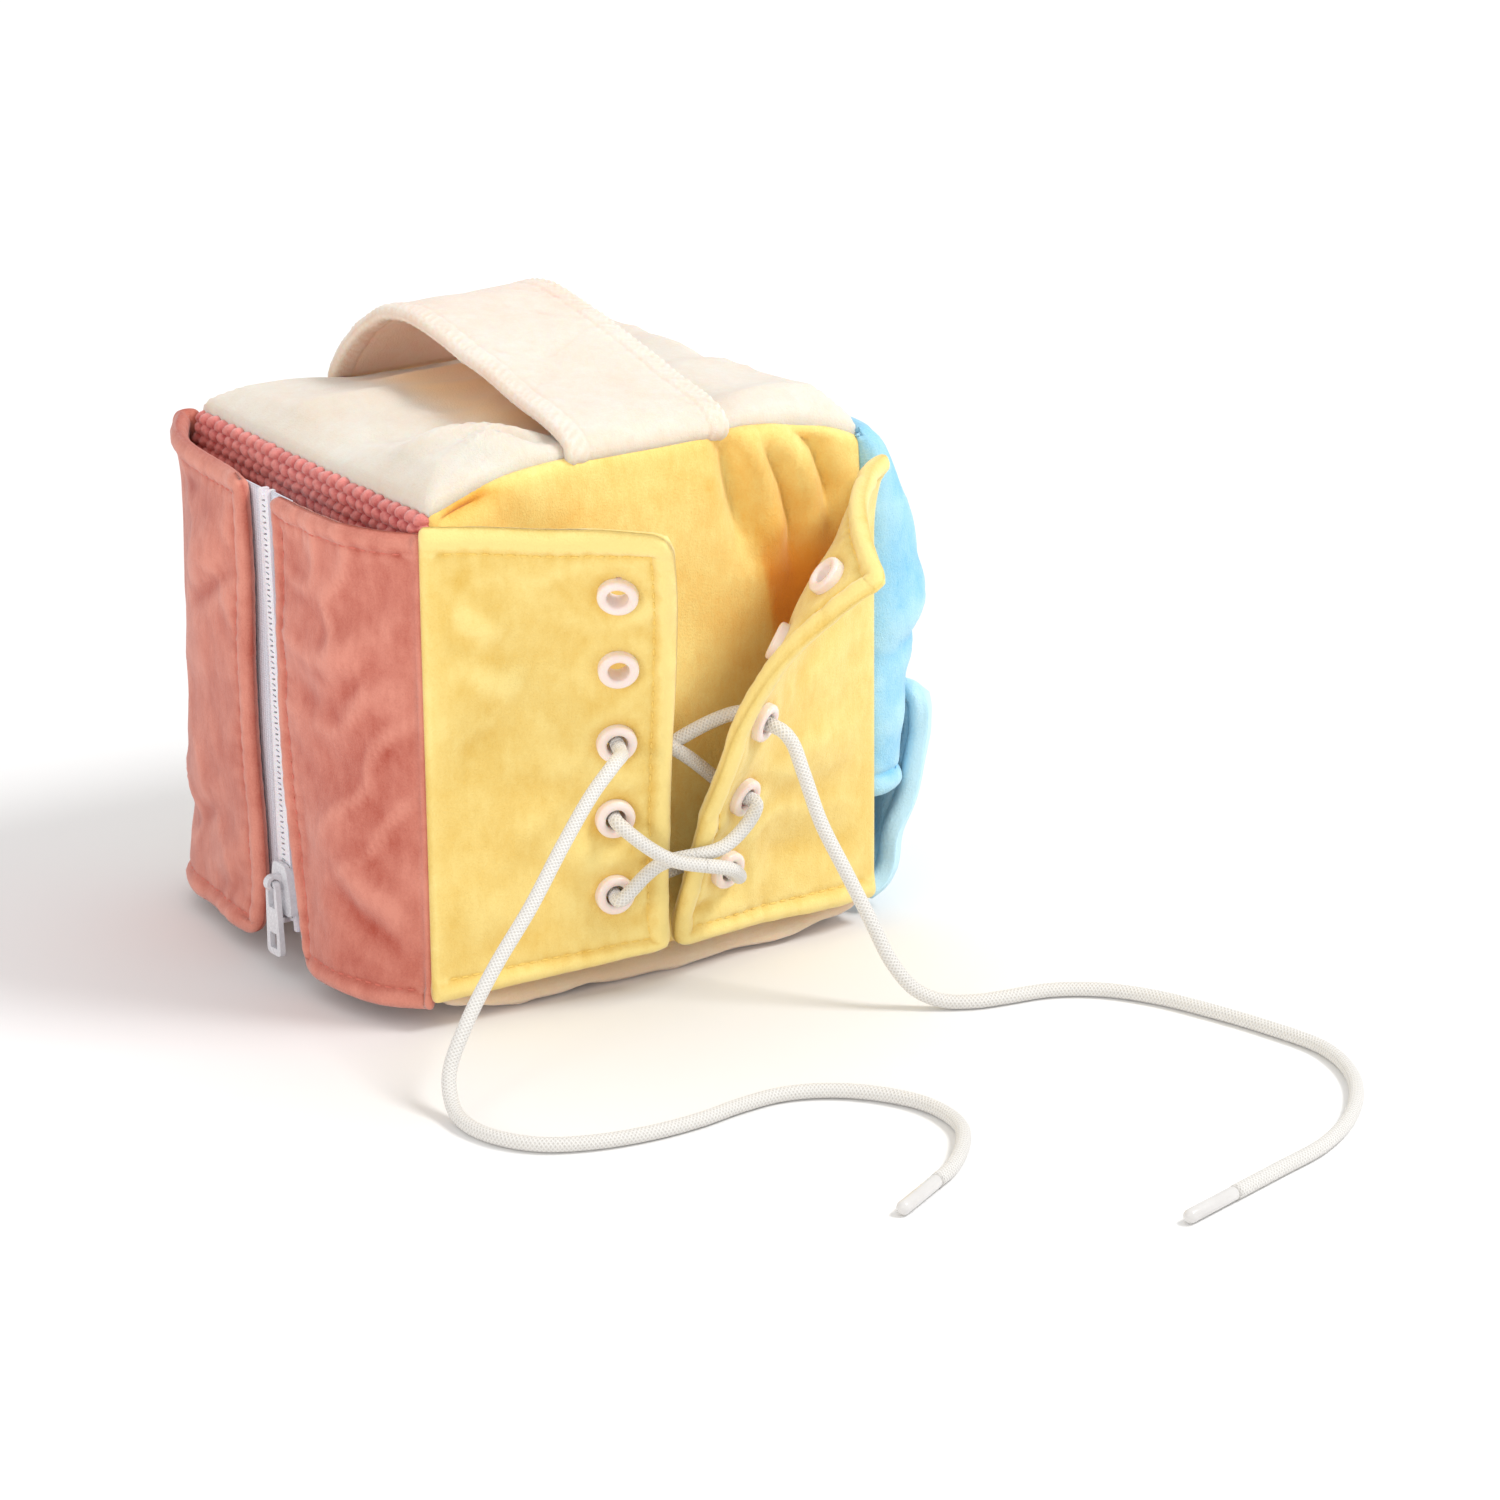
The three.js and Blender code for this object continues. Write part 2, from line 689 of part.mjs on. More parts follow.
// The point of a flap's middle surface at a distance s from its seam and h above its bottom hem.
function flapPoint(flap, s, h) {
  const { reach, height, lift, drop } = flap.lapel
    ? lapelPoint(flap, s, h)
    : { reach: s, height: h, lift: 0, drop: 0 };
  const rise = Math.max(height / flapHeight, 0);
  const mean = flap.foot + flap.swing * rise ** flap.swingPower * (1 + flap.swingEase * (1 - rise));
  const bend = mix(flap.footBend, flap.topBend, rise);
  const turn = Math.max((bend * reach) / flap.width, 1e-9);
  const chord = (reach * (1 - flap.taper * rise) * Math.sin(turn)) / turn;
  const chordAngle = mean - bend + turn;
  const faceAngle = mean - bend + 2 * turn;
  const seamX = half.x + flap.seamOut;
  const seamY = half.y + gap + lacingFlap.hemThickness / 2;
  return new THREE.Vector3(
    flap.side * (seamX - chord * Math.cos(chordAngle) + lift * Math.sin(faceAngle)),
    -(seamY + chord * Math.sin(chordAngle) + lift * Math.cos(faceAngle)),
    lacingFlap.bottom + height - drop,
  );
}

// A point of a flap's middle surface and the way the flap faces there, outwards.
function surfaceFrame(flap, s, h) {
  const step = lacingFlap.hem / 10;
  const alongS = flapPoint(flap, s + step, h).sub(flapPoint(flap, s - step, h));
  const alongH = flapPoint(flap, s, h + step).sub(flapPoint(flap, s, h - step));
  const facing = alongS.cross(alongH).multiplyScalar(-flap.side).normalize();
  return { middle: flapPoint(flap, s, h), facing };
}

function eyeletFrame(flap, number) {
  const h = flapHeight - eyelet.first - eyelet.pitch * (number - 1);
  return surfaceFrame(flap, flap.width - eyelet.inset, h);
}

const flangeInner = lacingFlap.thickness / 2 + 3 * gap;
const flangeOuter = flangeInner + eyelet.flangeThickness;

function offsetPoint(frame, distance) {
  return frame.middle.clone().addScaledVector(frame.facing, distance);
}

function lacingFlapGeometry(flap) {
  const widthHem = lacingFlap.hem / flap.width;
  const heightHem = lacingFlap.hem / flapHeight;
  const groove = 0.012;
  const pointAt = (u, v) => flapPoint(flap, u * flap.width, v * flapHeight);
  const thicknessAt = (u, v) =>
    u >= 1 - widthHem || v <= heightHem || v >= 1 - heightHem ? lacingFlap.hemThickness : lacingFlap.thickness;
  const sheet = softSheet(
    pointAt,
    hemmedShares(8, 0, widthHem, groove),
    hemmedShares(14, heightHem, heightHem, groove),
    thicknessAt,
  );
  let solid = toSolid(sheet);
  for (let i = 1; i <= eyeletCount; i += 1) {
    const frame = eyeletFrame(flap, i);
    const beyond = lacingFlap.hemThickness + overrun;
    const bore = cylinderAlong(
      eyelet.barrel + gap,
      offsetPoint(frame, -beyond),
      offsetPoint(frame, beyond),
      roundSegments,
    );
    solid = solid.subtract(bore);
  }
  return toGeometry(solid);
}

function eyeletGeometry() {
  const profile = [
    [eyelet.bore, -flangeOuter],
    [eyelet.bore, flangeOuter],
    [eyelet.flange - eyelet.edge, flangeOuter],
    [eyelet.flange, flangeInner],
    [eyelet.barrel, flangeInner],
    [eyelet.barrel, -flangeInner],
    [eyelet.flange, -flangeInner],
    [eyelet.flange - eyelet.edge, -flangeOuter],
    [eyelet.bore, -flangeOuter],
  ].map(([r, y]) => new THREE.Vector2(r, y));
  return welded(new THREE.LatheGeometry(profile, roundSegments));
}

function addLacingSide() {
  for (const [flap, name] of [
    [leftFlap, "left"],
    [rightFlap, "right"],
  ]) {
    addMesh(part, "lacing_flap_" + name, lacingFlapGeometry(flap), yellow);
    for (let i = 1; i <= eyeletCount; i += 1) {
      const frame = eyeletFrame(flap, i);
      const mesh = addMesh(part, "eyelet_" + name + "_" + i, eyeletGeometry(), eyeletWhite);
      mesh.position.copy(frame.middle);
      mesh.quaternion.setFromUnitVectors(new THREE.Vector3(0, 1, 0), frame.facing);
    }
  }
}

// Lace

function tube(points, diameter, steps) {
  const sides = 8;
  const ring = Array.from({ length: sides }, (_, i) => {
    const angle = (2 * Math.PI * (i + 1 / 2)) / sides;
    return [(diameter / 2) * Math.cos(angle), (diameter / 2) * Math.sin(angle)];
  });
  const extrudePath = new THREE.CatmullRomCurve3(points, false, "centripetal");
  return welded(new THREE.ExtrudeGeometry(polygon(ring), { steps, bevelEnabled: false, extrudePath }));
}

// The stretch that the eyelets hold: it starts outside the left third eyelet, crosses behind the
// flaps, out and across in front, along inside the bottom pair, and back up the same way.
function lacedRoute() {
  const end = lace.start - gap;
  const reach = flangeOuter + lace.diameter / 2 + gap;
  const left = (number) => eyeletFrame(leftFlap, number);
  const right = (number) => eyeletFrame(rightFlap, number);
  const between = (a, b, lift, rise = 0) => {
    const middle = a.clone().add(b).multiplyScalar(1 / 2);
    middle.y += lift;
    middle.z += rise;
    return middle;
  };
  const cross = lace.diameter + 2 * gap; // how far one strand passes the other
  const inner = (frame) => offsetPoint(frame, -reach);
  const outer = (frame) => offsetPoint(frame, reach);
  // Over the flap's free edge, on the way from an eyelet to one of the other flap.
  const overEdge = (flap, number, towards, lift) => {
    const inFrom = (lacingFlap.hem + lace.diameter) / 2;
    const share = towards > number ? lace.downShare : lace.upShare;
    const down = (number + (towards - number) * share - 1) * eyelet.pitch;
    const frame = surfaceFrame(flap, flap.width - inFrom, flapHeight - eyelet.first - down);
    const point = offsetPoint(frame, (lacingFlap.hemThickness + lace.diameter) / 2 + 9 * gap);
    point.y -= lift;
    return point;
  };
  return [
    offsetPoint(left(3), end),
    left(3).middle,
    inner(left(3)),
    between(inner(left(3)), inner(right(4)), -cross / 2, lace.archRise),
    inner(right(4)),
    right(4).middle,
    outer(right(4)),
    overEdge(rightFlap, 4, 5, 0),
    overEdge(leftFlap, 5, 4, 0),
    outer(left(5)),
    left(5).middle,
    inner(left(5)),
    between(inner(left(5)), inner(right(5)), -lace.diameter / 2),
    inner(right(5)),
    right(5).middle,
    outer(right(5)),
    overEdge(rightFlap, 5, 4, cross),
    overEdge(leftFlap, 4, 5, cross),
    outer(left(4)),
    left(4).middle,
    inner(left(4)),
    between(inner(left(4)), inner(right(3)), cross / 2, lace.archRise),
    inner(right(3)),
    right(3).middle,
    offsetPoint(right(3), end),
  ];
}

// Free stretches, chosen by hand: out of the third eyelets, down, and along the floor.
const leftLaceRoute = [
  [-33, -99, 78],
  [-42, -102, 72],
  [-53, -105, 61],
  [-66, -109, 47],
  [-79, -112, 34],
  [-90, -115, 21],
  [-97, -118, 10],
  [-100, -125, 3.5],
  [-101, -135, 2.1],
  [-98, -147, 2.1],
  [-91, -156, 2.1],
  [-79, -162, 2.1],
  [-64, -165, 2.1],
  [-49, -165, 2.1],
  [-35, -163, 2.1],
  [-22, -163, 2.1],
  [-10, -168, 2.1],
  [0, -178, 2.1],
  [6, -191, 2.1],
  [5, -206, 2.1],
  [-3, -218, 2.1],
  [-13, -227, 2.1],
  [-20, -231, 2.1],
];
const rightLaceRoute = [
  [24.5, -98, 72.5],
  [25.8, -102, 64],
  [28, -107, 51],
  [31.5, -114, 38],
  [35, -120, 26],
  [39, -126, 13],
  [44, -130, 5.5],
  [50, -134.5, 2.5],
  [58, -139, 2.1],
  [66, -141, 2.1],
  [80, -144, 2.1],
  [92, -152, 2.1],
  [101, -165, 2.1],
  [107, -180, 2.1],
  [113, -200, 2.1],
  [116, -219, 2.1],
  [110, -238, 2.1],
  [95, -256, 2.1],
  [76, -268, 2.1],
  [56, -274, 2.1],
  [38, -279, 2.1],
];

function agletGeometry() {
  const radius = lace.agletDiameter / 2;
  const profile = [
    [0, 0],
    [radius, 0],
    [radius, lace.agletLength - radius],
    [radius * Math.SQRT1_2, lace.agletLength - radius * (1 - Math.SQRT1_2)],
    [0, lace.agletLength],
  ].map(([r, y]) => new THREE.Vector2(r, y));
  return welded(new THREE.LatheGeometry(profile, 10));
}

function addLace() {
  const lacedSteps = 66;
  addMesh(part, "lace_laced", tube(lacedRoute(), lace.diameter, lacedSteps), white);
  for (const [flap, route, steps, name] of [
    [leftFlap, leftLaceRoute, 34, "left"],
    [rightFlap, rightLaceRoute, 30, "right"],
  ]) {
    const exit = offsetPoint(eyeletFrame(flap, 3), lace.start);
    const lead = offsetPoint(eyeletFrame(flap, 3), lace.start + lace.diameter);
    const free = route.map((point) => new THREE.Vector3(...point));
    addMesh(part, "lace_free_" + name, tube([exit, lead, ...free], lace.diameter, steps), white);
    const end = free.at(-1);
    const heading = end.clone().sub(free.at(-2)).normalize();
    const mesh = addMesh(part, "aglet_" + name, agletGeometry(), clear);
    mesh.position.copy(end).addScaledVector(heading, gap);
    mesh.quaternion.setFromUnitVectors(new THREE.Vector3(0, 1, 0), heading);
  }
}

// Side with two overlapping flaps

const upperFlap = {
  top: 143,
  hemZ: 37,
  hemOut: 10.4, // of its hem from its seam
  bulge: 18.2,
  curl: 14, // width of the margins that curl back to the block
  curlPower: 0.75, // how square the curl is
};
const lowerFlap = { foot: 7, hemZ: 66 };
const closureGap = 2 * patch.thickness + 4 * gap; // between the two flaps, which the patches fill

// Shares of the upper flap's bulge past its hem, and of its height from the hem to the seam.
const upperProfileShares = [
  [0, 0],
  [0, 0.13],
  [0, 0.25],
  [0.3, 0.32],
  [0.8, 0.39],
  [1, 0.5],
  [0.93, 0.62],
  [0.55, 0.78],
  [0.15, 0.88],
  [-0.5, 0.965],
];

// Shares of the lower flap's reach from its seam, and of its height.
const lowerProfileShares = [
  [0.19, 0.042],
  [0.39, 0.15],
  [0.55, 0.305],
  [0.74, 0.458],
  [0.9, 0.593],
  [0.995, 0.7],
  [1, 0.864],
  [1, 1],
];

function curledShares(curlShare) {
  const margin = evenShares(6).map((share) => share * curlShare);
  const middle = evenShares(3).slice(1, -1).map((share) => mix(curlShare, 1 - curlShare, share));
  return [...margin, ...middle, ...margin.map((share) => 1 - share).reverse()];
}

// Margins with a curl turn back from the sheet's profile to its seam.
function sideSheet(profile, curl) {
  const curve = new THREE.CatmullRomCurve3(
    profile.map(([x, z]) => new THREE.Vector3(x, 0, z)),
    false,
    "centripetal",
  );
  const inset = blueFlap.hemThickness / 2;
  const reach = half.y - inset;
  const seamX = profile[0][0];
  const pointAt = (u, v) => {
    const p = curve.getPoint(Math.min(Math.max(v, 0), 1));
    if (v < 0) p.addScaledVector(curve.getTangent(0), v * block.height);
    if (v > 1) p.addScaledVector(curve.getTangent(1), (v - 1) * block.height);
    p.y = (2 * u - 1) * reach;
    const past = curl ? (Math.abs(p.y) - reach + curl) / curl : 0;
    if (past > 0) {
      const angle = (Math.min(past, 1) * Math.PI) / 2;
      const along = Math.sin(angle) ** upperFlap.curlPower;
      p.y = Math.sign(p.y) * (reach - curl + curl * along);
      p.x = mix(seamX, p.x, Math.max(Math.cos(angle), 0) ** upperFlap.curlPower);
      p.x -= Math.max(past - 1, 0) * curl;
    }
    return p;
  };
  const sideHem = blueFlap.hem / block.depth;
  const endHem = blueFlap.hem / curve.getLength();
  const groove = 0.012;
  const thicknessAt = (u, v) =>
    u <= sideHem || u >= 1 - sideHem || v >= 1 - endHem ? blueFlap.hemThickness : blueFlap.thickness;
  const us = curl ? curledShares(curl / (2 * reach)) : hemmedShares(2, sideHem, sideHem, groove);
  return softSheet(pointAt, us, hemmedShares(10, 0, endHem, groove), thicknessAt);
}

function patchMesh(name, x, tone) {
  const outline = roundedShape(
    [
      [-patch.length / 2, -patch.height / 2],
      [patch.length / 2, -patch.height / 2],
      [patch.length / 2, patch.height / 2],
      [-patch.length / 2, patch.height / 2],
    ],
    patch.corner,
  );
  const geometry = welded(extruded(outline, patch.thickness));
  const mesh = addMesh(part, name, geometry, tone);
  mesh.rotation.set(Math.PI / 2, Math.PI / 2, 0);
  mesh.position.set(x, 0, patch.middleZ);
}

function addOverlapSide() {
  const seamX = half.x + gap + blueFlap.hemThickness / 2;
  const hemX = seamX + upperFlap.hemOut - gap;
  const upperHeight = upperFlap.top - upperFlap.hemZ;
  const fullness = upperFlap.bulge - upperFlap.hemOut;
  const upper = upperProfileShares
    .map(([out, up]) => [hemX + out * fullness, upperFlap.hemZ + up * upperHeight])
    .concat([[seamX, upperFlap.top]])
    .reverse();
  const lowerX = hemX + blueFlap.thickness + closureGap;
  const lower = lowerProfileShares.map(([out, up]) => [
    mix(seamX, lowerX, out),
    mix(lowerFlap.foot, lowerFlap.hemZ, up),
  ]);
  addMesh(part, "blue_upper_flap", sideSheet(upper, upperFlap.curl), blue);
  addMesh(part, "blue_lower_flap", sideSheet([[seamX, lowerFlap.foot], ...lower], 0), blue);
  const firstFace = hemX + blueFlap.thickness / 2 + gap;
  patchMesh("loop_patch", firstFace, white);
  patchMesh("hook_patch", firstFace + patch.thickness + 2 * gap, white);
}

addBody();
addStrap();
addZipSide();
addLacingSide();
addLace();
addOverlapSide();

export default part;
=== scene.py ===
import math

import bmesh
import bpy
from mathutils import Matrix, Vector, noise


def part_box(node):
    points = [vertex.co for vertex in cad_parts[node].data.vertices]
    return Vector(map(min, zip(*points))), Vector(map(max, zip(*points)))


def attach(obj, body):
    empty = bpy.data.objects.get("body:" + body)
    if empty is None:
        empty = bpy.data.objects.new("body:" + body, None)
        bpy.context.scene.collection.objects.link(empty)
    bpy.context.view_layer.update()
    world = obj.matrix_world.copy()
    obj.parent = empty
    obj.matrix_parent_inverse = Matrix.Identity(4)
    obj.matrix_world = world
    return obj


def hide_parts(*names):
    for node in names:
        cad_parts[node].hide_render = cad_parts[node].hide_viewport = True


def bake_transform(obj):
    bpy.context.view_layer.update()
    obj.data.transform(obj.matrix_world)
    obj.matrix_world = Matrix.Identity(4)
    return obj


# A stuffed fabric block with a zip side, a lacing side, a side of overlapping flaps and a strap.
# Everything is in metres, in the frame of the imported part. Only the tables of folds and of the free
# laces' places are in millimetres.

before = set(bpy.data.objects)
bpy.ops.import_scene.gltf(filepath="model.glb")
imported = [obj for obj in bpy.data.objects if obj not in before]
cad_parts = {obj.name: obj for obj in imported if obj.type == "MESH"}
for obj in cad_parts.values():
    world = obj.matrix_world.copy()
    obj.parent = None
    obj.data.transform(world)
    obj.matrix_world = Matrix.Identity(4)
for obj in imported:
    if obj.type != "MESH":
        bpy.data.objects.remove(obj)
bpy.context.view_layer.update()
noise.seed_set(3)
print("frame loaded")


# Camera, first, because the cords are measured against its view

cameraPlace = {
    "target": (0, 0, 0.074),
    "azimuth": -33.0,
    "elevation": 19.5,
    "roll": -0.4,
    "distance": 1.4873,
    "right": 0.06264,
    "up": -0.02615,
    "lens": 124.8,
    "sensor": 36.0,
}


def inScene(name, data):
    made = bpy.data.objects.new(name, data)
    bpy.context.scene.collection.objects.link(made)
    return made


def makeCamera(place):
    a, e = math.radians(place["azimuth"]), math.radians(place["elevation"])
    back = Vector((math.sin(a) * math.cos(e), -math.cos(a) * math.cos(e), math.sin(e)))
    side = (-back).cross(Vector((0, 0, 1))).normalized()
    up = side.cross(-back)
    roll = math.radians(place["roll"])
    right = side * math.cos(roll) + up * math.sin(roll)
    up = up * math.cos(roll) - side * math.sin(roll)
    data = bpy.data.cameras.new("camera")
    data.sensor_width = place["sensor"]
    data.sensor_fit = "HORIZONTAL"
    data.lens = place["lens"]
    camera = inScene("camera", data)
    turn = Matrix((right, up, back)).transposed().to_4x4()
    spot = Vector(place["target"]) + back * place["distance"]
    spot = spot + right * place["right"] + up * place["up"]
    camera.matrix_world = Matrix.Translation(spot) @ turn
    bpy.context.scene.camera = camera


makeCamera(cameraPlace)


# Shader wires: sums of sockets, and one way to add any other node


class Wire:
    def __init__(self, tree, socket):
        self.tree = tree
        self.socket = socket

    def node(self, kind, settings=None, inputs=None, out=0):
        made = self.tree.nodes.new(kind)
        for key, value in (settings or {}).items():
            setattr(made, key, value)
        for key, value in (inputs or {}).items():
            if isinstance(value, Wire):
                self.tree.links.new(value.socket, made.inputs[key])
            else:
                made.inputs[key].default_value = value
        return Wire(self.tree, made.outputs[out]) if len(made.outputs) else None

    def maths(self, operation, *values):
        return self.node("ShaderNodeMath", {"operation": operation}, dict(enumerate(values)))

    def __add__(self, other):
        return self.maths("ADD", self, other)

    def __sub__(self, other):
        return self.maths("SUBTRACT", self, other)

    def __mul__(self, other):
        return self.maths("MULTIPLY", self, other)

    def sine(self):
        return self.maths("SINE", self)

    def clamped(self):
        return self.node("ShaderNodeClamp", {}, {"Value": self})

    def smoothed(self):
        settings = {"interpolation_type": "SMOOTHSTEP"}
        return self.node("ShaderNodeMapRange", settings, {"Value": self})

    def noise(self, scale, detail=2.0, roughness=0.5):
        inputs = {"Vector": self, "Scale": scale, "Detail": detail, "Roughness": roughness}
        return self.node("ShaderNodeTexNoise", {}, inputs)

    def stretched(self, scale):
        return self.node("ShaderNodeMapping", {}, {"Vector": self, "Scale": scale})

    def axis(self, out):
        return self.node("ShaderNodeSeparateXYZ", {}, {0: self}, out)

    def distance(self, place):
        return self.node("ShaderNodeVectorMath", {"operation": "DISTANCE"}, {0: self, 1: place}, 1)

    def between(self, low, high):
        return self.node("ShaderNodeMix", {"data_type": "RGBA"}, {0: self, 6: low, 7: high}, 2)

    def bumped(self, strength, distance):
        inputs = {"Height": self, "Strength": strength, "Distance": distance}
        return self.node("ShaderNodeBump", {}, inputs)


# A colour as the screen shows it, made linear
def toned(colour):
    shares = [value / 255 for value in colour]
    return [s / 12.92 if s <= 0.04045 else ((s + 0.055) / 1.055) ** 2.4 for s in shares] + [1.0]


def newMaterial(name):
    material = bpy.data.materials.new(name)
    material.use_nodes = True
    tree = material.node_tree
    tree.nodes.clear()
    place = Wire(tree, tree.nodes.new("ShaderNodeTexCoord").outputs["Object"])
    return material, place


def finishMaterial(place, inputs):
    surface = place.node("ShaderNodeBsdfPrincipled", {}, inputs)
    place.node("ShaderNodeOutputMaterial", {}, {"Surface": surface})


# Short pile: soft blotches where the pile lies over, a fine nap, painted light on crests and painted
# shade in hollows
def pileFabric(name, pale, deep, nap=0.45, sheen=0.35, shaded=None, glow=0.0):
    material, place = newMaterial(name)
    ridge = place.node("ShaderNodeAttribute", {"attribute_name": "ridge"}, {}, 2)
    blotch = place.noise(34.0, 3.0, 0.55)
    cloud = place.noise(110.0, 3.0, 0.6)
    brushed = place.stretched((1.0, 1.0, 0.35)).noise(420.0, 3.0, 0.6)
    fibre = place.noise(1900.0, 2.0, 0.7)
    mottle = (blotch - 0.5) * 0.9 + (cloud - 0.5) * 0.7
    mottle = mottle + (brushed - 0.5) * 0.5 + (fibre - 0.5) * 0.5
    tone = (mottle + ridge * 0.36 + 0.6).clamped()
    height = brushed * 0.6 + fibre * 0.8
    colour = tone.between(toned(deep), toned(pale))
    # Past -1 the painted shade turns to the shaded colour: a painted warm shade
    if shaded:
        colour = (ridge * -1.0 - 1.0).clamped().between(colour, toned(shaded))
    finishMaterial(place, {
        "Base Color": colour,
        "Subsurface Weight": glow,
        "Subsurface Radius": (1.0, 0.45, 0.25),
        "Subsurface Scale": 0.01,
        "Roughness": 0.92,
        "Sheen Weight": sheen,
        "Sheen Roughness": 0.45,
        "Specular IOR Level": 0.2,
        "Normal": height.bumped(nap, 0.0007),
    })
    return material


def plastic(name, pale, deep, roughness=0.28, subsurface=0.0):
    material, place = newMaterial(name)
    cloud = place.noise(160.0, 3.0)
    scuff = place.noise(900.0, 4.0, 0.7)
    finishMaterial(place, {
        "Base Color": cloud.between(toned(deep), toned(pale)),
        "Roughness": scuff * 0.14 + (roughness - 0.05),
        "Subsurface Weight": subsurface,
        "Subsurface Scale": 0.002,
        "Coat Weight": 0.15,
        "Normal": scuff.bumped(0.12, 0.0001),
    })
    return material


# Braid: two sets of strands that cross, in the cord's own map of length and turn
def braidMaterial(name, pale, deep):
    material, place = newMaterial(name)
    laid = Wire(place.tree, place.tree.nodes.new("ShaderNodeTexCoord").outputs["UV"])
    along, around = laid.axis(0), laid.axis(1)
    strands, turns = 8, 900.0
    left = ((along * turns + around * strands) * (2 * math.pi)).sine()
    right = ((along * turns - around * strands) * (2 * math.pi)).sine()
    weave = left.maths("MAXIMUM", left, right) * 0.5 + 0.5
    fibre = place.noise(2600.0, 2.0, 0.7)
    finishMaterial(place, {
        "Base Color": (weave * 0.8 + fibre * 0.3).clamped().between(toned(deep), toned(pale)),
        "Roughness": 0.8,
        "Sheen Weight": 0.25,
        "Normal": (weave + fibre * 0.35).bumped(0.6, 0.0004),
    })
    return material


# Woven tape: ribs along it and picks across it
def tapeMaterial(name, pale, deep):
    material, place = newMaterial(name)
    ribPitch, pickPitch = 0.0012, 0.0007
    ribs = (place.axis(1) * (2 * math.pi / ribPitch)).sine() * 0.5 + 0.5
    picks = (place.axis(2) * (2 * math.pi / pickPitch)).sine() * 0.5 + 0.5
    weave = ribs * 0.6 + picks * 0.4
    finishMaterial(place, {
        "Base Color": weave.between(toned(deep), toned(pale)),
        "Roughness": 0.75,
        "Sheen Weight": 0.2,
        "Normal": weave.bumped(0.5, 0.0002),
    })
    return material


finishes = {
    "cream": pileFabric(
        "creamPile", (238, 226, 214), (231, 202, 180), shaded=(255, 200, 150), glow=0.45
    ),
    "coral": pileFabric("coralPile", (219, 144, 126), (172, 78, 62), 0.42),
    "lemon": pileFabric("lemonPile", (246, 222, 142), (225, 183, 84)),
    "amber": pileFabric("amberPile", (255, 238, 156), (242, 186, 84), shaded=(226, 136, 38)),
    "blue": pileFabric("bluePile", (176, 222, 240), (104, 186, 228), 0.5),
    # A lit copy of the blue, paler, for painted light on the lower blue flap
    "litBlue": pileFabric("litBluePile", (196, 232, 245), (132, 202, 233), 0.5),
    "chenille": pileFabric("pinkBobble", (236, 150, 142), (188, 80, 80), 0.6, 0.5),
    "foam": pileFabric("filling", (244, 241, 234), (228, 224, 214), 0.3, 0.1),
    "coralThread": plastic("coralThread", (214, 118, 100), (200, 102, 86), 0.6),
    "yellowThread": plastic("yellowThread", (244, 210, 112), (234, 198, 100), 0.6),
    "blueThread": plastic("blueThread", (140, 206, 240), (124, 194, 232), 0.6),
    "creamThread": plastic("creamThread", (240, 228, 212), (230, 216, 198), 0.6),
    "lace": braidMaterial("whiteBraid", (234, 232, 228), (204, 199, 192)),
    "aglet": plastic("agletPlastic", (226, 224, 222), (206, 203, 200), 0.15),
    "eyelet": plastic("eyeletPlastic", (247, 234, 227), (232, 212, 203), 0.2, 0.25),
    "tape": tapeMaterial("zipTape", (230, 231, 240), (202, 203, 215)),
    "teeth": plastic("zipTeeth", (240, 238, 242), (222, 218, 226), 0.25, 0.1),
    "slider": plastic("sliderEnamel", (226, 226, 230), (206, 206, 212), 0.25),
    "patch": pileFabric("gripPatch", (240, 240, 240), (216, 216, 218), 0.9, 0.2),
}
print("finishes made")


# Making pieces


def newPiece(name, bm, finish, body):
    mesh = bpy.data.meshes.new(name)
    bm.to_mesh(mesh)
    bm.free()
    piece = inScene(name, mesh)
    mesh.materials.append(finishes[finish])
    mesh.shade_smooth()
    if body:
        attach(piece, body)
    return piece


# A frame node that is shown as it is, in another finish
def refinish(node, finish):
    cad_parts[node].data.materials[0] = finishes[finish]


def mixed(a, b, share):
    return a + (b - a) * share


def unit(value):
    return min(max(value, 0), 1)


def bell(distance, width, power=2):
    return math.exp(-((distance / width) ** power))


def dome(distance, reach):
    share = unit(distance / reach)
    return math.sqrt(1 - (1 - share) ** 2)


def groove(distance, centre, width):
    return bell(distance - centre, width)


# Distances across a sheet: close together at a rolled edge and at its stitch line
def stations(length, step, lowEdge=True, stitch=0.0065):
    close = [0.0, 0.0004, 0.001, 0.0019, 0.0032, 0.0046]
    line = [stitch + d for d in (-0.0011, -0.0005, 0.0, 0.0005, 0.0011, 0.0024)]
    low = close + line if lowEdge else [0.0]
    high = [length - d for d in reversed(close + line)]
    count = max(2, round((high[0] - low[-1]) / step))
    inner = [mixed(low[-1], high[0], i / count) for i in range(1, count)]
    return low + inner + high


# A place on a sheet whose corners are round: each corner's square is drawn in to a quarter disc
def rounded(s, h, low, high, height, lowRadius, highRadius):
    fromHigh = high - s < s - low
    radius = highRadius if fromHigh else lowRadius
    a, b = min(s - low, high - s), min(h, height - h)
    if a >= radius or b >= radius:
        return s, h
    u, v = 1 - max(a, 0) / radius, 1 - max(b, 0) / radius
    a = radius * (1 - u * math.sqrt(1 - v * v / 2))
    b = radius * (1 - v * math.sqrt(1 - u * u / 2))
    return (high - a if fromHigh else low + a), (b if h < height / 2 else height - b)


# A turned hem: half its thickness at a distance from the edge, puffed up between edge and stitches
def hemHalf(edge, hem, hemThickness, thickness, puff=0.0009, reach=0.0026):
    blend = unit((edge - hem) / 0.0014)
    full = mixed(hemThickness, thickness, blend) / 2 + puff * groove(edge, hem * 0.48, hem * 0.3)
    return full * dome(edge, reach)


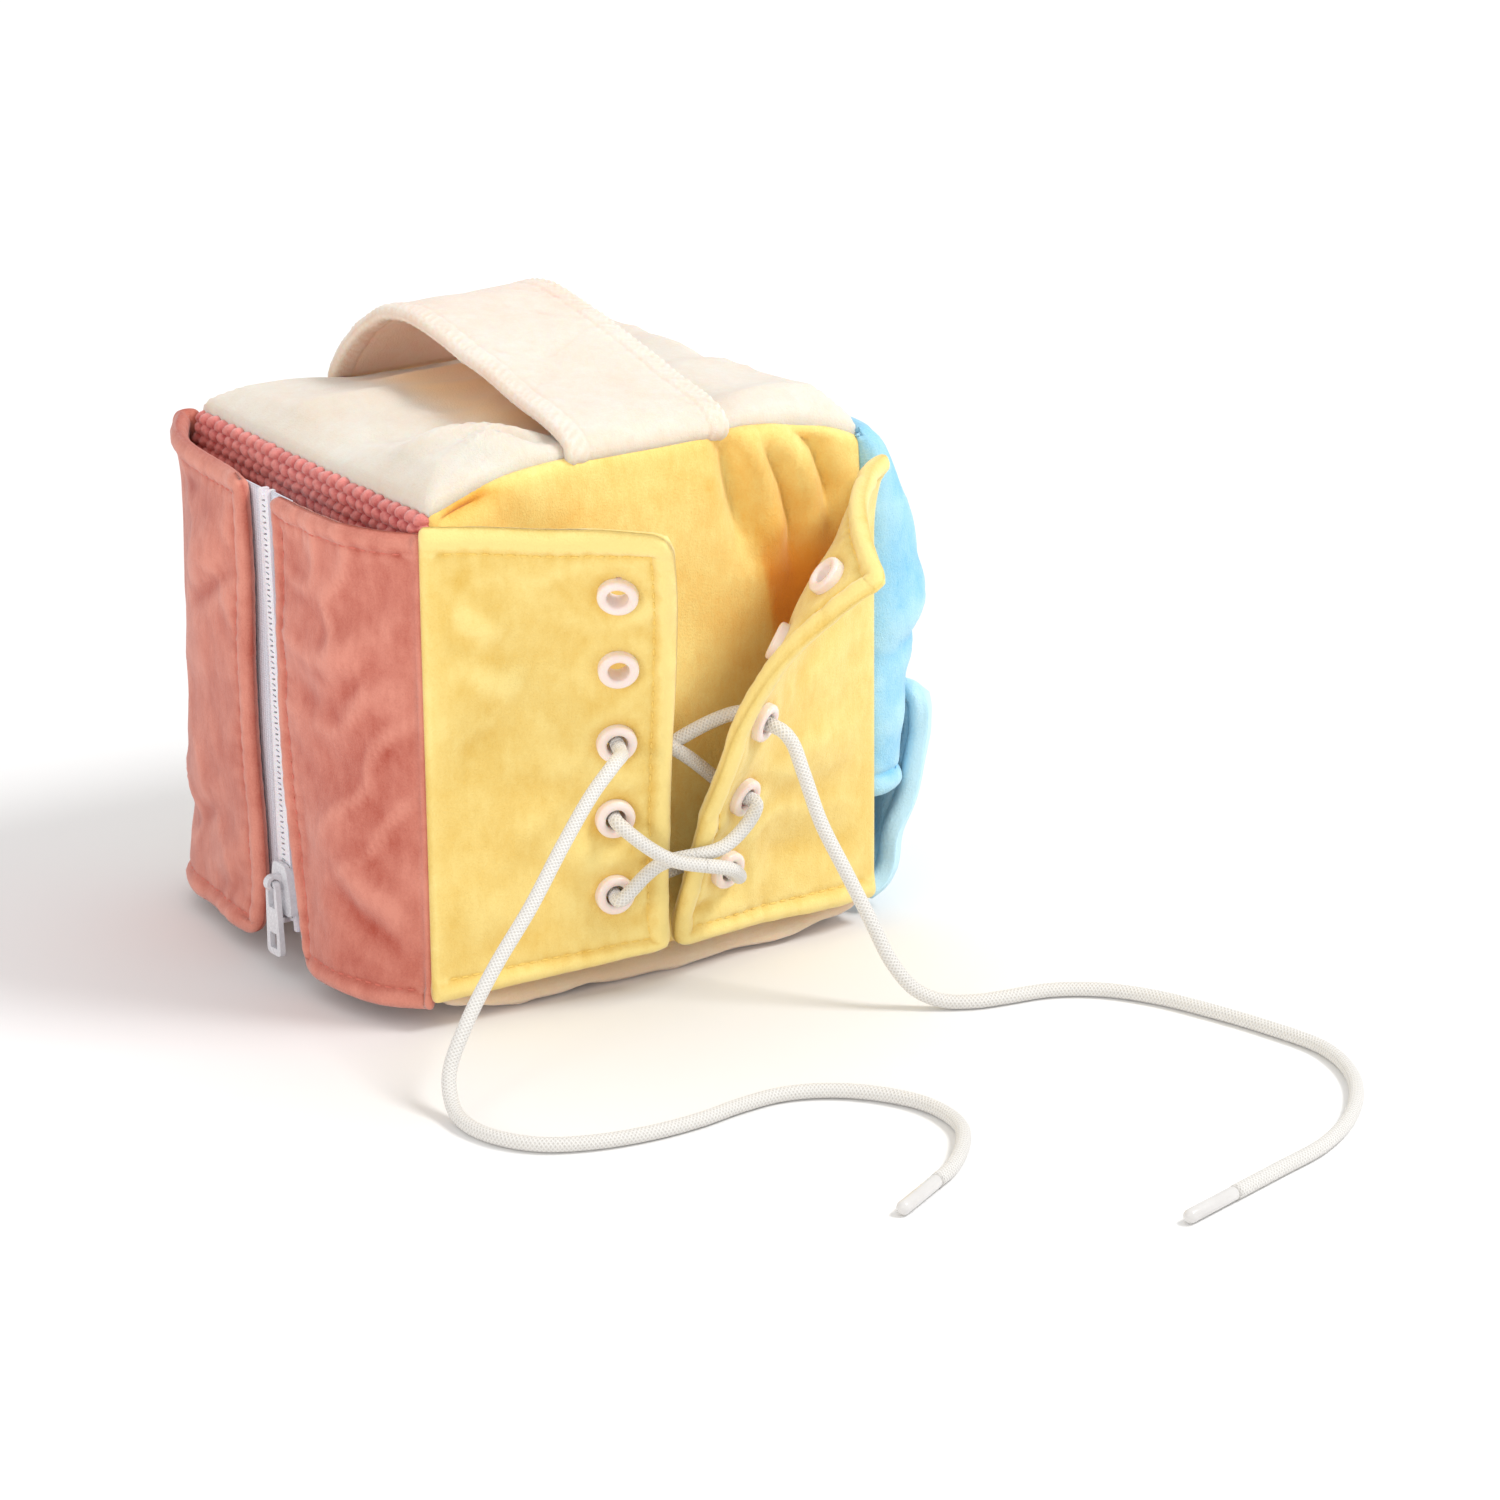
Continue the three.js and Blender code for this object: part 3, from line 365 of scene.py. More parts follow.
# Folds, in millimetres: the places of a bent line on the sheet, then the width and lift of the soft
# ridge along it, or of the valley where the lift is negative
def foldRelief(folds):
    lines = []
    for fold in folds:
        *places, width, lift = [value / 1000 for value in fold]
        spots = [Vector(places[i:i + 2]) for i in range(0, len(places), 2)]
        length = sum((b - a).length for a, b in zip(spots, spots[1:]))
        lines.append((spots, length, width, lift))

    def relief(s, h):
        total = 0.0
        place = Vector((s, h))
        for spots, length, width, lift in lines:
            passed, share, nearest = 0.0, 0.0, math.inf
            for a, b in zip(spots, spots[1:]):
                run = b - a
                part = unit((place - a).dot(run) / run.length_squared)
                gap = (place - a - run * part).length
                if gap < nearest:
                    nearest, share = gap, (passed + run.length * part) / length
                passed += run.length
            taper = math.sin(math.pi * mixed(0.08, 0.92, share)) ** 0.8
            total += lift * taper * bell(nearest, width)
        return total

    return relief


# Cloth that has been handled: broad dents, soft creases that wander, and a little fine unevenness
def creased(s, h, seed, dent=0.0014, crease=0.0012, fine=0.00022, scale=26):
    spot = Vector((s * scale, h * scale, seed * 7.3))
    warp = noise.noise_vector(spot * 0.8) * 0.55
    broad = noise.noise(spot + warp)
    ridge = 1 - abs(noise.noise(spot * 1.5 + warp * 1.4 + Vector((3.1, 1.7, 0.4))))
    mask = unit(0.5 + 0.9 * noise.noise(spot * 0.6 + Vector((9.2, 4.4, 2.0))))
    small = noise.noise(spot * 4.6)
    return dent * broad + crease * mask * (ridge**4 - 0.3) + fine * small


# Puckers that a row of stitching draws up on both of its sides
def puckered(along, away, seed, height=0.00035, pitch=0.0058, reach=0.0042):
    wander = 0.004 * noise.noise(Vector((along * 45, seed, 2.2)))
    swell = 0.6 + 0.6 * noise.noise(Vector((along * 60, seed, 5.1)))
    return height * swell * math.sin((along + wander) / pitch * 2 * math.pi) * bell(away, reach)


def gridOf(columns, rows, valueAt):
    return [[valueAt(i, j) for j in range(rows)] for i in range(columns)]


# How far each place of a grid of heights rises above the mean of the places two steps away, which
# sets the painted light and shade of its cloth
def reliefShading(heights, columns, rows, full=0.00045):
    def stand(i, j):
        sides = heights[max(i - 2, 0)][j] + heights[min(i + 2, columns - 1)][j]
        mean = (sides + heights[i][max(j - 2, 0)] + heights[i][min(j + 2, rows - 1)]) / 4
        return min(max((heights[i][j] - mean) / full, -1.0), 1.0)

    return gridOf(columns, rows, stand)


# A soft sheet about pointAt, with half its thickness from halfAt, holes through it, and painted light
# and shade in its ridge attribute
def softSheet(
    name, pointAt, across, along, halfAt, finish, body, relief=None, holes=(), holeRadius=0.0,
    shade=None,
):
    columns, rows = len(across), len(along)
    middle = [[pointAt(s, h) for h in along] for s in across]

    def normalsOf(grid):
        def normal(i, j):
            ds = grid[min(i + 1, columns - 1)][j] - grid[max(i - 1, 0)][j]
            dh = grid[i][min(j + 1, rows - 1)] - grid[i][max(j - 1, 0)]
            return ds.cross(dh).normalized()

        return gridOf(columns, rows, normal)

    normals = normalsOf(middle)
    lifts = [[relief(s, h) if relief else 0.0 for h in along] for s in across]
    if relief:
        for i in range(columns):
            for j in range(rows):
                middle[i][j] = middle[i][j] + normals[i][j] * lifts[i][j]
        normals = normalsOf(middle)
    halves = {side: [[halfAt(s, h, side) for h in along] for s in across] for side in (1, -1)}
    stands = {}
    for side, half in halves.items():
        heights = gridOf(columns, rows, lambda i, j: half[i][j] + side * lifts[i][j])
        stands[side] = reliefShading(heights, columns, rows)
    bm = bmesh.new()
    sLayer = bm.verts.layers.float.new("across")
    hLayer = bm.verts.layers.float.new("along")
    paintedShadeLayer = bm.verts.layers.float.new("ridge")
    bmesh.ops.create_grid(bm, x_segments=columns - 1, y_segments=rows - 1, size=1.0)

    def gridPlace(vert):
        return round((vert.co.x + 1) / 2 * (columns - 1)), round((vert.co.y + 1) / 2 * (rows - 1))

    for vert in bm.verts:
        i, j = gridPlace(vert)
        vert[sLayer], vert[hLayer] = across[i], along[j]
    for s, h in holes:
        doomed = []
        for face in bm.faces:
            ds = sum(v[sLayer] for v in face.verts) / len(face.verts) - s
            dh = sum(v[hLayer] for v in face.verts) / len(face.verts) - h
            if math.hypot(ds, dh) < holeRadius:
                doomed.append(face)
        bmesh.ops.delete(bm, geom=doomed, context="FACES")
    everything = bm.verts[:] + bm.edges[:] + bm.faces[:]
    doubled = bmesh.ops.extrude_face_region(bm, geom=everything, use_keep_orig=True)
    raised = {part for part in doubled["geom"] if isinstance(part, bmesh.types.BMVert)}
    for vert in bm.verts:
        i, j = gridPlace(vert)
        side = 1 if vert in raised else -1
        vert.co = middle[i][j] + normals[i][j] * (side * halves[side][i][j])
        # The ridge attribute: painted light on crests, painted shade in hollows, and the sheet's own
        # painted shade
        vert[paintedShadeLayer] = stands[side][i][j] + (shade(across[i], along[j]) if shade else 0.0)
    bmesh.ops.recalc_face_normals(bm, faces=bm.faces)
    uv = bm.loops.layers.uv.new("cloth")
    for face in bm.faces:
        for loop in face.loops:
            loop[uv].uv = (loop.vert[sLayer], loop.vert[hLayer])
    return newPiece(name, bm, finish, body)


# Sizes that the sewn flaps share
dentWidth = 0.0009
seamClear = 0.003
seamRound = 0.0022
sewnFrom = 0.004
threadSink = 0.0003
deepSink = 0.0004


# A row of thread stitches along points, lying on a surface that faces the given ways
def stitchRow(bm, points, facings, length=0.0026, gap=0.0008, thick=0.0005):
    travelled, due = 0.0, 0.0
    for (a, fa), (b, fb) in zip(zip(points, facings), zip(points[1:], facings[1:])):
        step = (b - a).length
        while due < travelled + step:
            share = (due - travelled) / step
            spot, up = a.lerp(b, share), fa.lerp(fb, share).normalized()
            run = (b - a).normalized()
            side = up.cross(run).normalized()
            turn = Matrix((run, side, up)).transposed().to_4x4()
            size = Matrix.Diagonal((length / 2, thick / 1.6, thick / 2, 1))
            place = Matrix.Translation(spot) @ turn @ size
            bmesh.ops.create_uvsphere(bm, u_segments=6, v_segments=4, radius=1.0, matrix=place)
            due += length + gap
        travelled += step


# A place on a sheet and the way the sheet faces there
def facingAt(pointAt, s, h, step=0.0006):
    ds = pointAt(s + step, h) - pointAt(s - step, h)
    dh = pointAt(s, h + step) - pointAt(s, h - step)
    return pointAt(s, h), ds.cross(dh)


# Places along straight runs; each corner after the first says in how many steps it is reached
def runs(*corners):
    line = [corners[0]]
    for (a, b, *_), (s, h, count) in zip(corners, corners[1:]):
        line += [(mixed(a, s, i / count), mixed(b, h, i / count)) for i in range(1, count + 1)]
    return line


# Rows of stitches along lines on a sheet, on the given faces, 1 or -1, at a lift from its middle
def sew(name, finish, body, pointAt, relief, lines, faces, lift):
    rows = bmesh.new()
    for line in lines:
        for face in faces:
            points, facings = [], []
            for s, h in line:
                spot, normal = facingAt(pointAt, s, h)
                normal.normalize()
                points.append(spot + normal * (relief(s, h) + face * lift))
                facings.append(normal * face)
            stitchRow(rows, points, facings)
    newPiece(name + "Stitches", rows, finish, body)


# Strap sizes, which the top lies under

strap = {
    "width": 0.052,
    "offset": -0.001,
    "thickness": 0.0034,
    "edgeThickness": 0.0042,
    "hem": 0.007,
    "rise": 0.029,
    "strand": 0.00038,
    "strandPitch": 0.0029,
    "strandReach": 0.0046,
    "strandLean": 1.3,
    "strandRound": 0.002,
    "hemFade": 0.0016,
    "dent": 0.0005,
    "dentWidth": 0.0008,
    "round": 0.0021,
    "endShare": 0.3,
    "endReach": 0.0045,
    "endCalm": 0.02,
    "bareEnd": 0.008,
}

# The stuffed body

block = {
    "half": Vector((0.0715, 0.0675, 0.07)),
    "bottomSeam": 0.0055,
    "crown": {"-x": 0.002, "+x": 0.002, "-y": 0.001, "+y": 0.005, "-z": 0.006, "+z": 0.004},
    "facePower": 2.5,
    "footPower": 4.0,
    "strapEdgeBow": 0.012,
    "footBulge": 0.0062,
    "footDrop": 0.0035,
    "footRise": 0.0022,
    "footReach": 0.012,
    "footShade": 1.3,
    "footShadeReach": 0.02,
    "edgeRadius": 0.006,
    "seamDip": 0.0016,
    "seamWidth": 0.0022,
    "fabric": 0.0021,
    "fillingInset": 0.0096,
}
middleZ = block["bottomSeam"] + block["half"].z
topSeam = block["bottomSeam"] + 2 * block["half"].z


def stuffed(p):
    half, crown = block["half"], block["crown"]
    u, v, w = p.x / half.x, p.y / half.y, p.z / half.z

    def swell(a, b, power):
        return max(1 - abs(a) ** power, 0.0) * max(1 - abs(b) ** power, 0.0)

    face, foot = block["facePower"], block["footPower"]
    x = p.x + (crown["-x"] if u < 0 else crown["+x"]) * u * swell(v, w, face)
    y = p.y + (crown["-y"] if v < 0 else crown["+y"]) * v * swell(u, w, face)
    z = p.z + (crown["-z"] if w < 0 else crown["+z"]) * w * swell(u, v, foot if w < 0 else face)
    z += block["strapEdgeBow"] * max(w, 0.0) * max(-v, 0.0) ** 2 * (1 - u**4)
    return Vector((x, y, max(middleZ + z, block["fabric"] / 2)))


# The place of the inner box, whose corners are the middles of the round edges, next to a point
def innerPlace(p):
    reach = [half - block["edgeRadius"] for half in block["half"]]
    return Vector(max(-reach[k], min(reach[k], p[k])) for k in range(3))


# One face of the body: its place on a box with round edges, swollen, dipping into its seams
def facePoint(axis, side, relief, fade=0.012):
    half, radius = block["half"], block["edgeRadius"]
    first, second = (axis + 1) % 3, (axis + 2) % 3

    def pointAt(a, b):
        p = Vector((0, 0, 0))
        p[axis] = side * half[axis]
        p[first], p[second] = a, b
        q = innerPlace(p)
        out = (p - q).normalized()
        edge = min(half[first] - abs(a), half[second] - abs(b))
        dip = block["seamDip"] * bell(edge, block["seamWidth"])
        reach = radius - dip - block["fabric"] / 2 + relief(a, b) * min(edge / fade, 1.0)
        return stuffed(q + out * reach)

    return pointAt


def faceStations(half):
    close = [0.0, 0.0006, 0.0014, 0.0024, 0.0036, 0.005, 0.0066, 0.0085]
    inner = half - close[-1]
    count = round(2 * inner / 0.0019)
    middle = [mixed(-inner, inner, i / count) for i in range(1, count)]
    return [-half + d for d in close] + middle + [half - d for d in reversed(close)]


def bodyFace(name, node, axis, side, finish, relief, fade=0.012, shade=None, push=None):
    first, second = block["half"][(axis + 1) % 3], block["half"][(axis + 2) % 3]
    plain = facePoint(axis, side, relief, fade)

    def pointAt(a, b):
        return push(plain(a, b), a, b) if push else plain(a, b)

    def halfAt(s, h, face):
        return block["fabric"] / 2

    piece = softSheet(
        name, pointAt, faceStations(first), faceStations(second), halfAt, finish, "block",
        shade=shade,
    )
    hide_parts(node)


# For faces along x the sheet runs across y and up z; for y across z and x; for z across x and y.
topFolds = foldRelief([
    (-34, -64, -52, -54, 3.2, 3), (-30, -58, -50, -45, 3, -2.2), (-30, -52, -62, -36, 5, 2.6),
    (-32, -30, -62, -10, 9, -2), (-34, 6, -60, 24, 8, 1.8), (34, -50, 60, -36, 10, -1),
    (32, -20, 64, -10, 10, 1), (34, 20, 60, 36, 10, -1),
])
yellowFolds = foldRelief([
    (69, 22.5, 62.4, 24.5, 51.6, 27.6, 36.5, 31.4, 4.4, -4),
    (69, 24, 63, 29.4, 56.1, 35.9, 49.3, 41.1, 39.5, 42, 3.2, 1.8),
    (64, 35, 58.8, 38.2, 52, 42.1, 43.5, 45.7, 30, 46.7, 3.6, -3.4),
    (65.1, 33.3, 61.6, 46.8, 51.8, 53.1, 46, 54.7, 3.6, 1.8),
    (66.5, 44, 61.8, 53.8, 52, 57.7, 40, 59, 4, -3.4), (30, 40, -20, 42, 14, -2),
    (66.5, -68, 65.5, -52, 4, -3), (60, -50, 44, -30, 6, -1.2), (20, 0, -20, 10, 9, 1.6),
])
backFolds = foldRelief([
    (50, -50, 20, -30, 9, 1.6), (-50, 48, -20, 30, 9, 1.6), (52, 50, 34, 30, 8, -1.4),
    (-54, -46, -34, -26, 8, -1.4),
])
footFolds = foldRelief([
    (58, -66.5, 30, -52, 4, -2.6), (66, -64, 46, -46, 3.5, 2.2), (-20, -66.5, -34, -50, 4, -2.4),
    (-44, -66.5, -50, -50, 3.5, 2.2), (-60, -66.5, -56, -50, 4, -2.2), (6, -66.5, 0, -52, 4, 2),
])


# The top is fullest close behind its seams, and lies flatter on the left and under the strap's ends
pillow = {
    "height": 0.0078,
    "sideRise": 0.0026,
    "endRise": 0.003,
    "leftFrom": 0.012,
    "leftReach": 0.06,
    "leftLoss": 0.35,
    "strapReach": 0.034,
    "strapFrom": 0.026,
    "strapFade": 0.018,
    "strapLoss": 0.92,
}


def topPillow(a, b):
    half = block["half"]
    rise = 1 - math.exp(-(half.x - abs(a)) / pillow["sideRise"])
    rise *= 1 - math.exp(-(half.y - abs(b)) / pillow["endRise"])
    leftward = unit((pillow["leftFrom"] - a) / pillow["leftReach"])
    underStrap = bell(a - strap["offset"], pillow["strapReach"], 4)
    underStrap *= unit((abs(b) - pillow["strapFrom"]) / pillow["strapFade"])
    height = pillow["height"] * rise * (1 - pillow["leftLoss"] * leftward)
    return height * (1 - pillow["strapLoss"] * underStrap)


# Shades darken a panel's cloth. The backing's lies behind the right flap and in its foot corner
backingShade = {
    "creaseAt": (0.069, 0.0225),
    "creaseSlope": 0.26,
    "creaseFade": 0.005,
    "flapFrom": 0.060,
    "flapFade": 0.030,
    "depth": 1.75,
    "pocketAt": (0.066, -0.058),
    "pocketSize": (0.004, 0.012),
    "pocketDepth": 1.6,
}


def yellowShade(a, b):
    corner, start = backingShade["creaseAt"]
    crease = start + (corner - a) * backingShade["creaseSlope"]
    behind = unit((b - crease) / backingShade["creaseFade"])
    behind *= unit((backingShade["flapFrom"] - a) / backingShade["flapFade"])
    (x, z), (width, height) = backingShade["pocketAt"], backingShade["pocketSize"]
    pocket = bell(a - x, width) * bell(b - z, height)
    return -backingShade["depth"] * behind - backingShade["pocketDepth"] * pocket


# The strap's shade on the top is warm: the light there comes through cloth
warmShade = {"shift": 0.006, "halfWidth": 0.030, "halfLength": 0.058, "depth": 2.3}


def strapShade(a, b):
    across = bell(a - strap["offset"] + warmShade["shift"], warmShade["halfWidth"], 4)
    return -warmShade["depth"] * across * bell(b, warmShade["halfLength"], 4)


def footShade(a, b):
    return -block["footShade"] * bell(b + block["half"].y, block["footShadeReach"])


# The underside bulges out below the flaps
def footPush(spot, a, b):
    inward = b + block["half"].y
    bulge = (1 - bell(inward, block["footRise"])) * bell(inward, block["footReach"])
    wander = 1 + 0.2 * noise.noise(Vector((a * 60, b * 30, 6.0)))
    bulge *= (1 - abs(a / block["half"].x) ** 6) * wander
    height = max(spot.z - block["footDrop"] * bulge, block["fabric"] / 2)
    return Vector((spot.x, spot.y - block["footBulge"] * bulge, height))


# Rows of bobbles that run along y, each row set half a bobble along from the next
bobble = {
    "pitch": 0.0047,
    "row": 0.0032,
    "size": 0.56,
    "lean": 0.5,
    "height": 0.0016,
    "wobble": 0.35,
    "fuzz": 0.0005,
    "round": 0.6,
    "sink": -0.0009,
    "fade": 0.0016,
    "sideFade": 0.005,
    "fineReach": 0.014,
}


def bobbles(a, b):
    pitch, row, size = bobble["pitch"], bobble["row"], bobble["size"]
    j = round(b / row)
    shift = (j % 2) * pitch / 2
    i = round((a - shift) / pitch)
    lean = (b - j * row) * bobble["lean"] * (1 if j % 2 else -1)
    away = math.hypot((a - shift - i * pitch + lean) / (pitch * size), (b - j * row) / (row * size))
    wobble = bobble["wobble"] * noise.noise(Vector((i * 1.7, j * 2.3, 4.0)))
    fuzz = bobble["fuzz"] * noise.noise(Vector((a * 620, b * 620, 1.5)))
    return bobble["height"] * (1 + wobble) * max(1 - away * away, 0.0) ** bobble["round"] + fuzz


def makeBody():
    def waved(folds, seed, dent=0.0013, crease=0.0011):
        return lambda a, b: 1.6 * folds(a, b) + creased(a, b, seed, dent, crease)

    topWaves = waved(topFolds, 1, 0.0016, 0.0014)
    bodyFace(
        "topPanel", "top_panel", 2, 1, "cream", lambda a, b: topWaves(a, b) + topPillow(a, b),
        shade=strapShade,
    )
    bodyFace(
        "bottomPanel", "bottom_panel", 2, -1, "cream", footFolds, shade=footShade, push=footPush
    )
    bodyFace("backPanel", "back_panel", 1, 1, "cream", waved(backFolds, 2, 0.0030, 0.0034))
    yellowWaves = waved(yellowFolds, 3, 0.0010, 0.0008)
    bodyFace(
        "yellowBacking", "lacing_backing_panel", 1, -1, "amber", yellowWaves, 0.006, yellowShade
    )
    bodyFace("blueBacking", "blue_backing_panel", 0, 1, "blue", waved(lambda a, b: 0.0, 4))
    bobblePanel()
    filling()


def bobblePanel():
    half = block["half"]
    across = [mixed(-half.y, half.y, i / 200) for i in range(201)]
    bare = half.z - bobble["fineReach"]
    along = [mixed(-half.z, bare, i / 90) for i in range(90)]
    along += [mixed(bare, half.z, i / 34) for i in range(35)]
    flatFace = facePoint(0, -1, lambda a, b: bobble["sink"])

    def halfAt(s, h, face):
        edge = min(half.y - abs(s), half.z - abs(h))
        fade = min(edge / bobble["fade"], 1.0) * min((half.y - abs(s)) / bobble["sideFade"], 1.0)
        return block["fabric"] / 2 + (bobbles(s, h) * fade if face < 0 else 0.0)

    piece = softSheet("bobbleBacking", flatFace, across, along, halfAt, "chenille", "block")
    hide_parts("zip_backing_panel")


def filling():
    bm = bmesh.new()
    bmesh.ops.create_cube(bm, size=2.0)
    bmesh.ops.subdivide_edges(bm, edges=bm.edges, cuts=11, use_grid_fill=True)
    inset = block["fillingInset"]
    for vert in bm.verts:
        p = vert.co * block["half"]
        q = innerPlace(p)
        vert.co = stuffed(q + (p - q).normalized() * (block["edgeRadius"] - inset))
        vert.co.z = max(vert.co.z, inset)
    bmesh.ops.recalc_face_normals(bm, faces=bm.faces)
    piece = newPiece("filling", bm, "foam", "block")
    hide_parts("stuffing_core")


# Lacing side

lacing = {
    "bottom": 0.008,
    "top": 0.1415,
    "thickness": 0.003,
    "hemThickness": 0.0038,
    "hem": 0.0065,
    "gap": 0.0003,
    "tuck": 0.0022,
    "corner": 0.0055,
    "dent": 0.0008,
    "press": 0.0007,
    "pressReach": 0.0024,
    "calmFrom": 0.006,
    "calmReach": 0.007,
    "seamCalm": 0.010,
    "drawnReach": 0.022,
    # The rim paints a highlight along the free hems
    "rim": 0.7,
    "rimAt": 0.002,
    "rimWidth": 0.0026,
}
leftFlap = {
    "name": "left",
    "drawnUp": 0.0045,
    "topUp": 0.002,
    "side": -1,
    "width": 0.0693,
    "seamOut": 0.0008,
    "taper": 0.05,
    "foot": math.radians(8),
    "swing": math.radians(32),
    "power": 2.2,
    "ease": 0,
    "footBend": math.radians(5),
    "topBend": math.radians(7),
    "lapel": None,
}
rightFlap = {
    "name": "right",
    "drawnUp": 0.0025,
    "topUp": 0.0,
    "side": 1,
    "width": 0.0706,
    "seamOut": -0.0025,
    "taper": 0.0,
    "foot": math.radians(5),
    "swing": math.radians(24),
    "power": 1.7,
    "ease": 3,
    "footBend": math.radians(5.5),
    "topBend": math.radians(11.5),
    "lapel": {"turn": math.radians(60), "start": 0.67, "radius": 0.04, "droop": 0.0046},
}
eyelet = {
    "bore": 0.0029,
    "hole": 0.0042,
    "flange": 0.0056,
    "flangeThickness": 0.001,
    "inset": 0.0165,
    "first": 0.0175,
    "pitch": 0.0232,
}
lace = {
    "diameter": 0.004,
    "start": 0.003,
    "archRise": 0.0035,
    "onFloor": 0.0021,
    "splitX": -0.0016,
    "blendX": {"left": -0.014, "right": 0.012},
    "edgeShares": {"left": 0.42, "right": 0.63},
    "agletRadius": 0.0019,
    "agletLength": 0.02,
}
flapHeight = lacing["top"] - lacing["bottom"]
flangeInner = lacing["thickness"] / 2 + 3 * lacing["gap"]
flangeOuter = flangeInner + eyelet["flangeThickness"]


# The upper free corner rolls outwards about a line from the flap's top to its free edge
def lapelPoint(flap, s, h):
    lapel = flap["lapel"]
    line = Vector((flap["width"], (lapel["start"] - 1) * flapHeight)).normalized()
    across = -line.y * s + line.x * (h - flapHeight)
    along = line.x * s + line.y * (h - flapHeight)
    bendStart = -lapel["radius"] * lapel["turn"] / 2
    turned = min(max((across - bendStart) / lapel["radius"], 0), lapel["turn"])
    past = max(across - bendStart - lapel["radius"] * lapel["turn"], 0)
    flat = min(across, bendStart) + lapel["radius"] * math.sin(turned) + past * math.cos(turned)
    reach = line.x * along - line.y * flat
    height = flapHeight + line.y * along + line.x * flat
    lift = lapel["radius"] * (1 - math.cos(turned)) + past * math.sin(turned)
    drop = lapel["droop"] * (max(across, 0) / (-line.y * flap["width"])) ** 2
    return reach, height, lift, drop


def flapPoint(flap, s, h):
    reach, height, lift, drop = lapelPoint(flap, s, h) if flap["lapel"] else (s, h, 0, 0)
    rise = max(height / flapHeight, 0)
    mean = flap["foot"] + flap["swing"] * rise ** flap["power"] * (1 + flap["ease"] * (1 - rise))
    bend = mixed(flap["footBend"], flap["topBend"], rise)
    turn = bend * reach / flap["width"]
    turn = turn if abs(turn) > 1e-9 else 1e-9
    chord = reach * (1 - flap["taper"] * rise) * math.sin(turn) / turn
    chordAngle = mean - bend + turn
    faceAngle = mean - bend + 2 * turn
    seamX = block["half"].x + flap["seamOut"]
    seamY = block["half"].y + lacing["gap"] + lacing["hemThickness"] / 2
    return Vector((
        flap["side"] * (seamX - chord * math.cos(chordAngle) + lift * math.sin(faceAngle)),
        -(seamY + chord * math.sin(chordAngle) + lift * math.cos(faceAngle)),
        lacing["bottom"] + height - drop,
    ))


# The cloth itself: round free corners, a bottom edge that is drawn up and a top edge that stands up
def clothPoint(flap, s, h):
    s, h = rounded(s, h, -lacing["tuck"], flap["width"], flapHeight, 0.002, lacing["corner"])
    drawn = flap["drawnUp"] * max(s / flap["width"], 0) ** 1.5
    drawn *= max(1 - h / lacing["drawnReach"], 0) ** 2
    return flapPoint(flap, s, h + drawn + flap["topUp"] * max(h / flapHeight, 0) ** 12)


def surfaceFrame(flap, s, h):
    spot, normal = facingAt(lambda s, h: flapPoint(flap, s, h), s, h)
    return spot, (normal * -flap["side"]).normalized()


def eyeletSpot(flap, number):
    s = flap["width"] - eyelet["inset"]
    return s, flapHeight - eyelet["first"] - eyelet["pitch"] * (number - 1)


def eyeletFrame(flap, number):
    return surfaceFrame(flap, *eyeletSpot(flap, number))


def offsetFrom(placed, distance):
    return placed[0] + placed[1] * distance


# Puckers of the flaps: the left one has soft dents by its seam, both pull in round the lacing
flapFolds = {
    "left": foldRelief([
        (6, 112, 20, 104, 5, 1.4), (10, 94, 26, 88, 5, 1.2), (4, 70, 30, 78, 8, -1),
        (30, 44, 60, 26, 6, 1.2), (50, 46, 64, 38, 3, 1.8), (48, 18, 64, 14, 4, -1.2),
        (20, 60, 46, 54, 7, -1.2), (6, 20, 30, 30, 8, 1),
    ]),
    "right": foldRelief([
        (6, 20, 40, 26, 7, -1.1), (50, 18, 66, 10, 4, -1.6), (46, 44, 66, 40, 3, 1.6),
        (10, 54, 44, 50, 8, 1.2), (14, 92, 40, 76, 8, -1),
    ]),
}


def makeLacingFlap(flap):
    width, hem = flap["width"], lacing["hem"]
    across = [-lacing["tuck"], -0.0016, -0.0009] + stations(width, 0.0016, lowEdge=False)
    along = stations(flapHeight, 0.0018)
    outward = -flap["side"]
    spots = [eyeletSpot(flap, number) for number in range(1, 6)]
    folds = flapFolds[flap["name"]]

    def pointAt(s, h):
        return clothPoint(flap, s, h)

    def nearEyelet(s, h):
        return min(math.hypot(s - a, h - b) for a, b in spots)

    def halfAt(s, h, face):
        edge = min(width - s, h, flapHeight - h)
        full = hemHalf(edge, hem, lacing["hemThickness"], lacing["thickness"])
        dent = lacing["dent"] * groove(edge, hem, dentWidth) * (1 if s > seamClear else 0)
        away = max(nearEyelet(s, h) - eyelet["flange"], 0)
        press = lacing["press"] * bell(away, lacing["pressReach"])
        return full * dome(s + lacing["tuck"], seamRound) - dent - press

    def relief(s, h):
        calm = unit((nearEyelet(s, h) - lacing["calmFrom"]) / lacing["calmReach"])
        calm *= unit(s / lacing["seamCalm"])
        rows = puckered(h, width - s - hem, 1.0, 0.0002) + puckered(s, h - hem, 2.0, 0.0002)
        rows += puckered(s, flapHeight - h - hem, 3.0, 0.0002)
        waves = creased(s, h, 5 + flap["side"], 0.0021, 0.0012) + 1.6 * folds(s, h)
        return outward * (waves + rows) * calm

    # Painted highlight along the hems of the free edge and the top
    def shade(s, h):
        edge = min(width - s, flapHeight - h)
        return lacing["rim"] * groove(edge, lacing["rimAt"], lacing["rimWidth"])

    body = flap["name"] + "_flap"
    name = "lacingFlap" + flap["name"].title()
    piece = softSheet(
        name, pointAt, across, along, halfAt, "lemon", body, relief, spots, eyelet["hole"], shade
    )
    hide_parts("lacing_flap_" + flap["name"])
    far, top = width - hem, flapHeight - hem
    line = runs((sewnFrom, hem), (far, hem, 30), (far, top, 60), (sewnFrom, top, 30))
    lift = lacing["thickness"] / 2 - threadSink
    sew(name, "yellowThread", body, pointAt, relief, [line], (outward, -outward), lift)


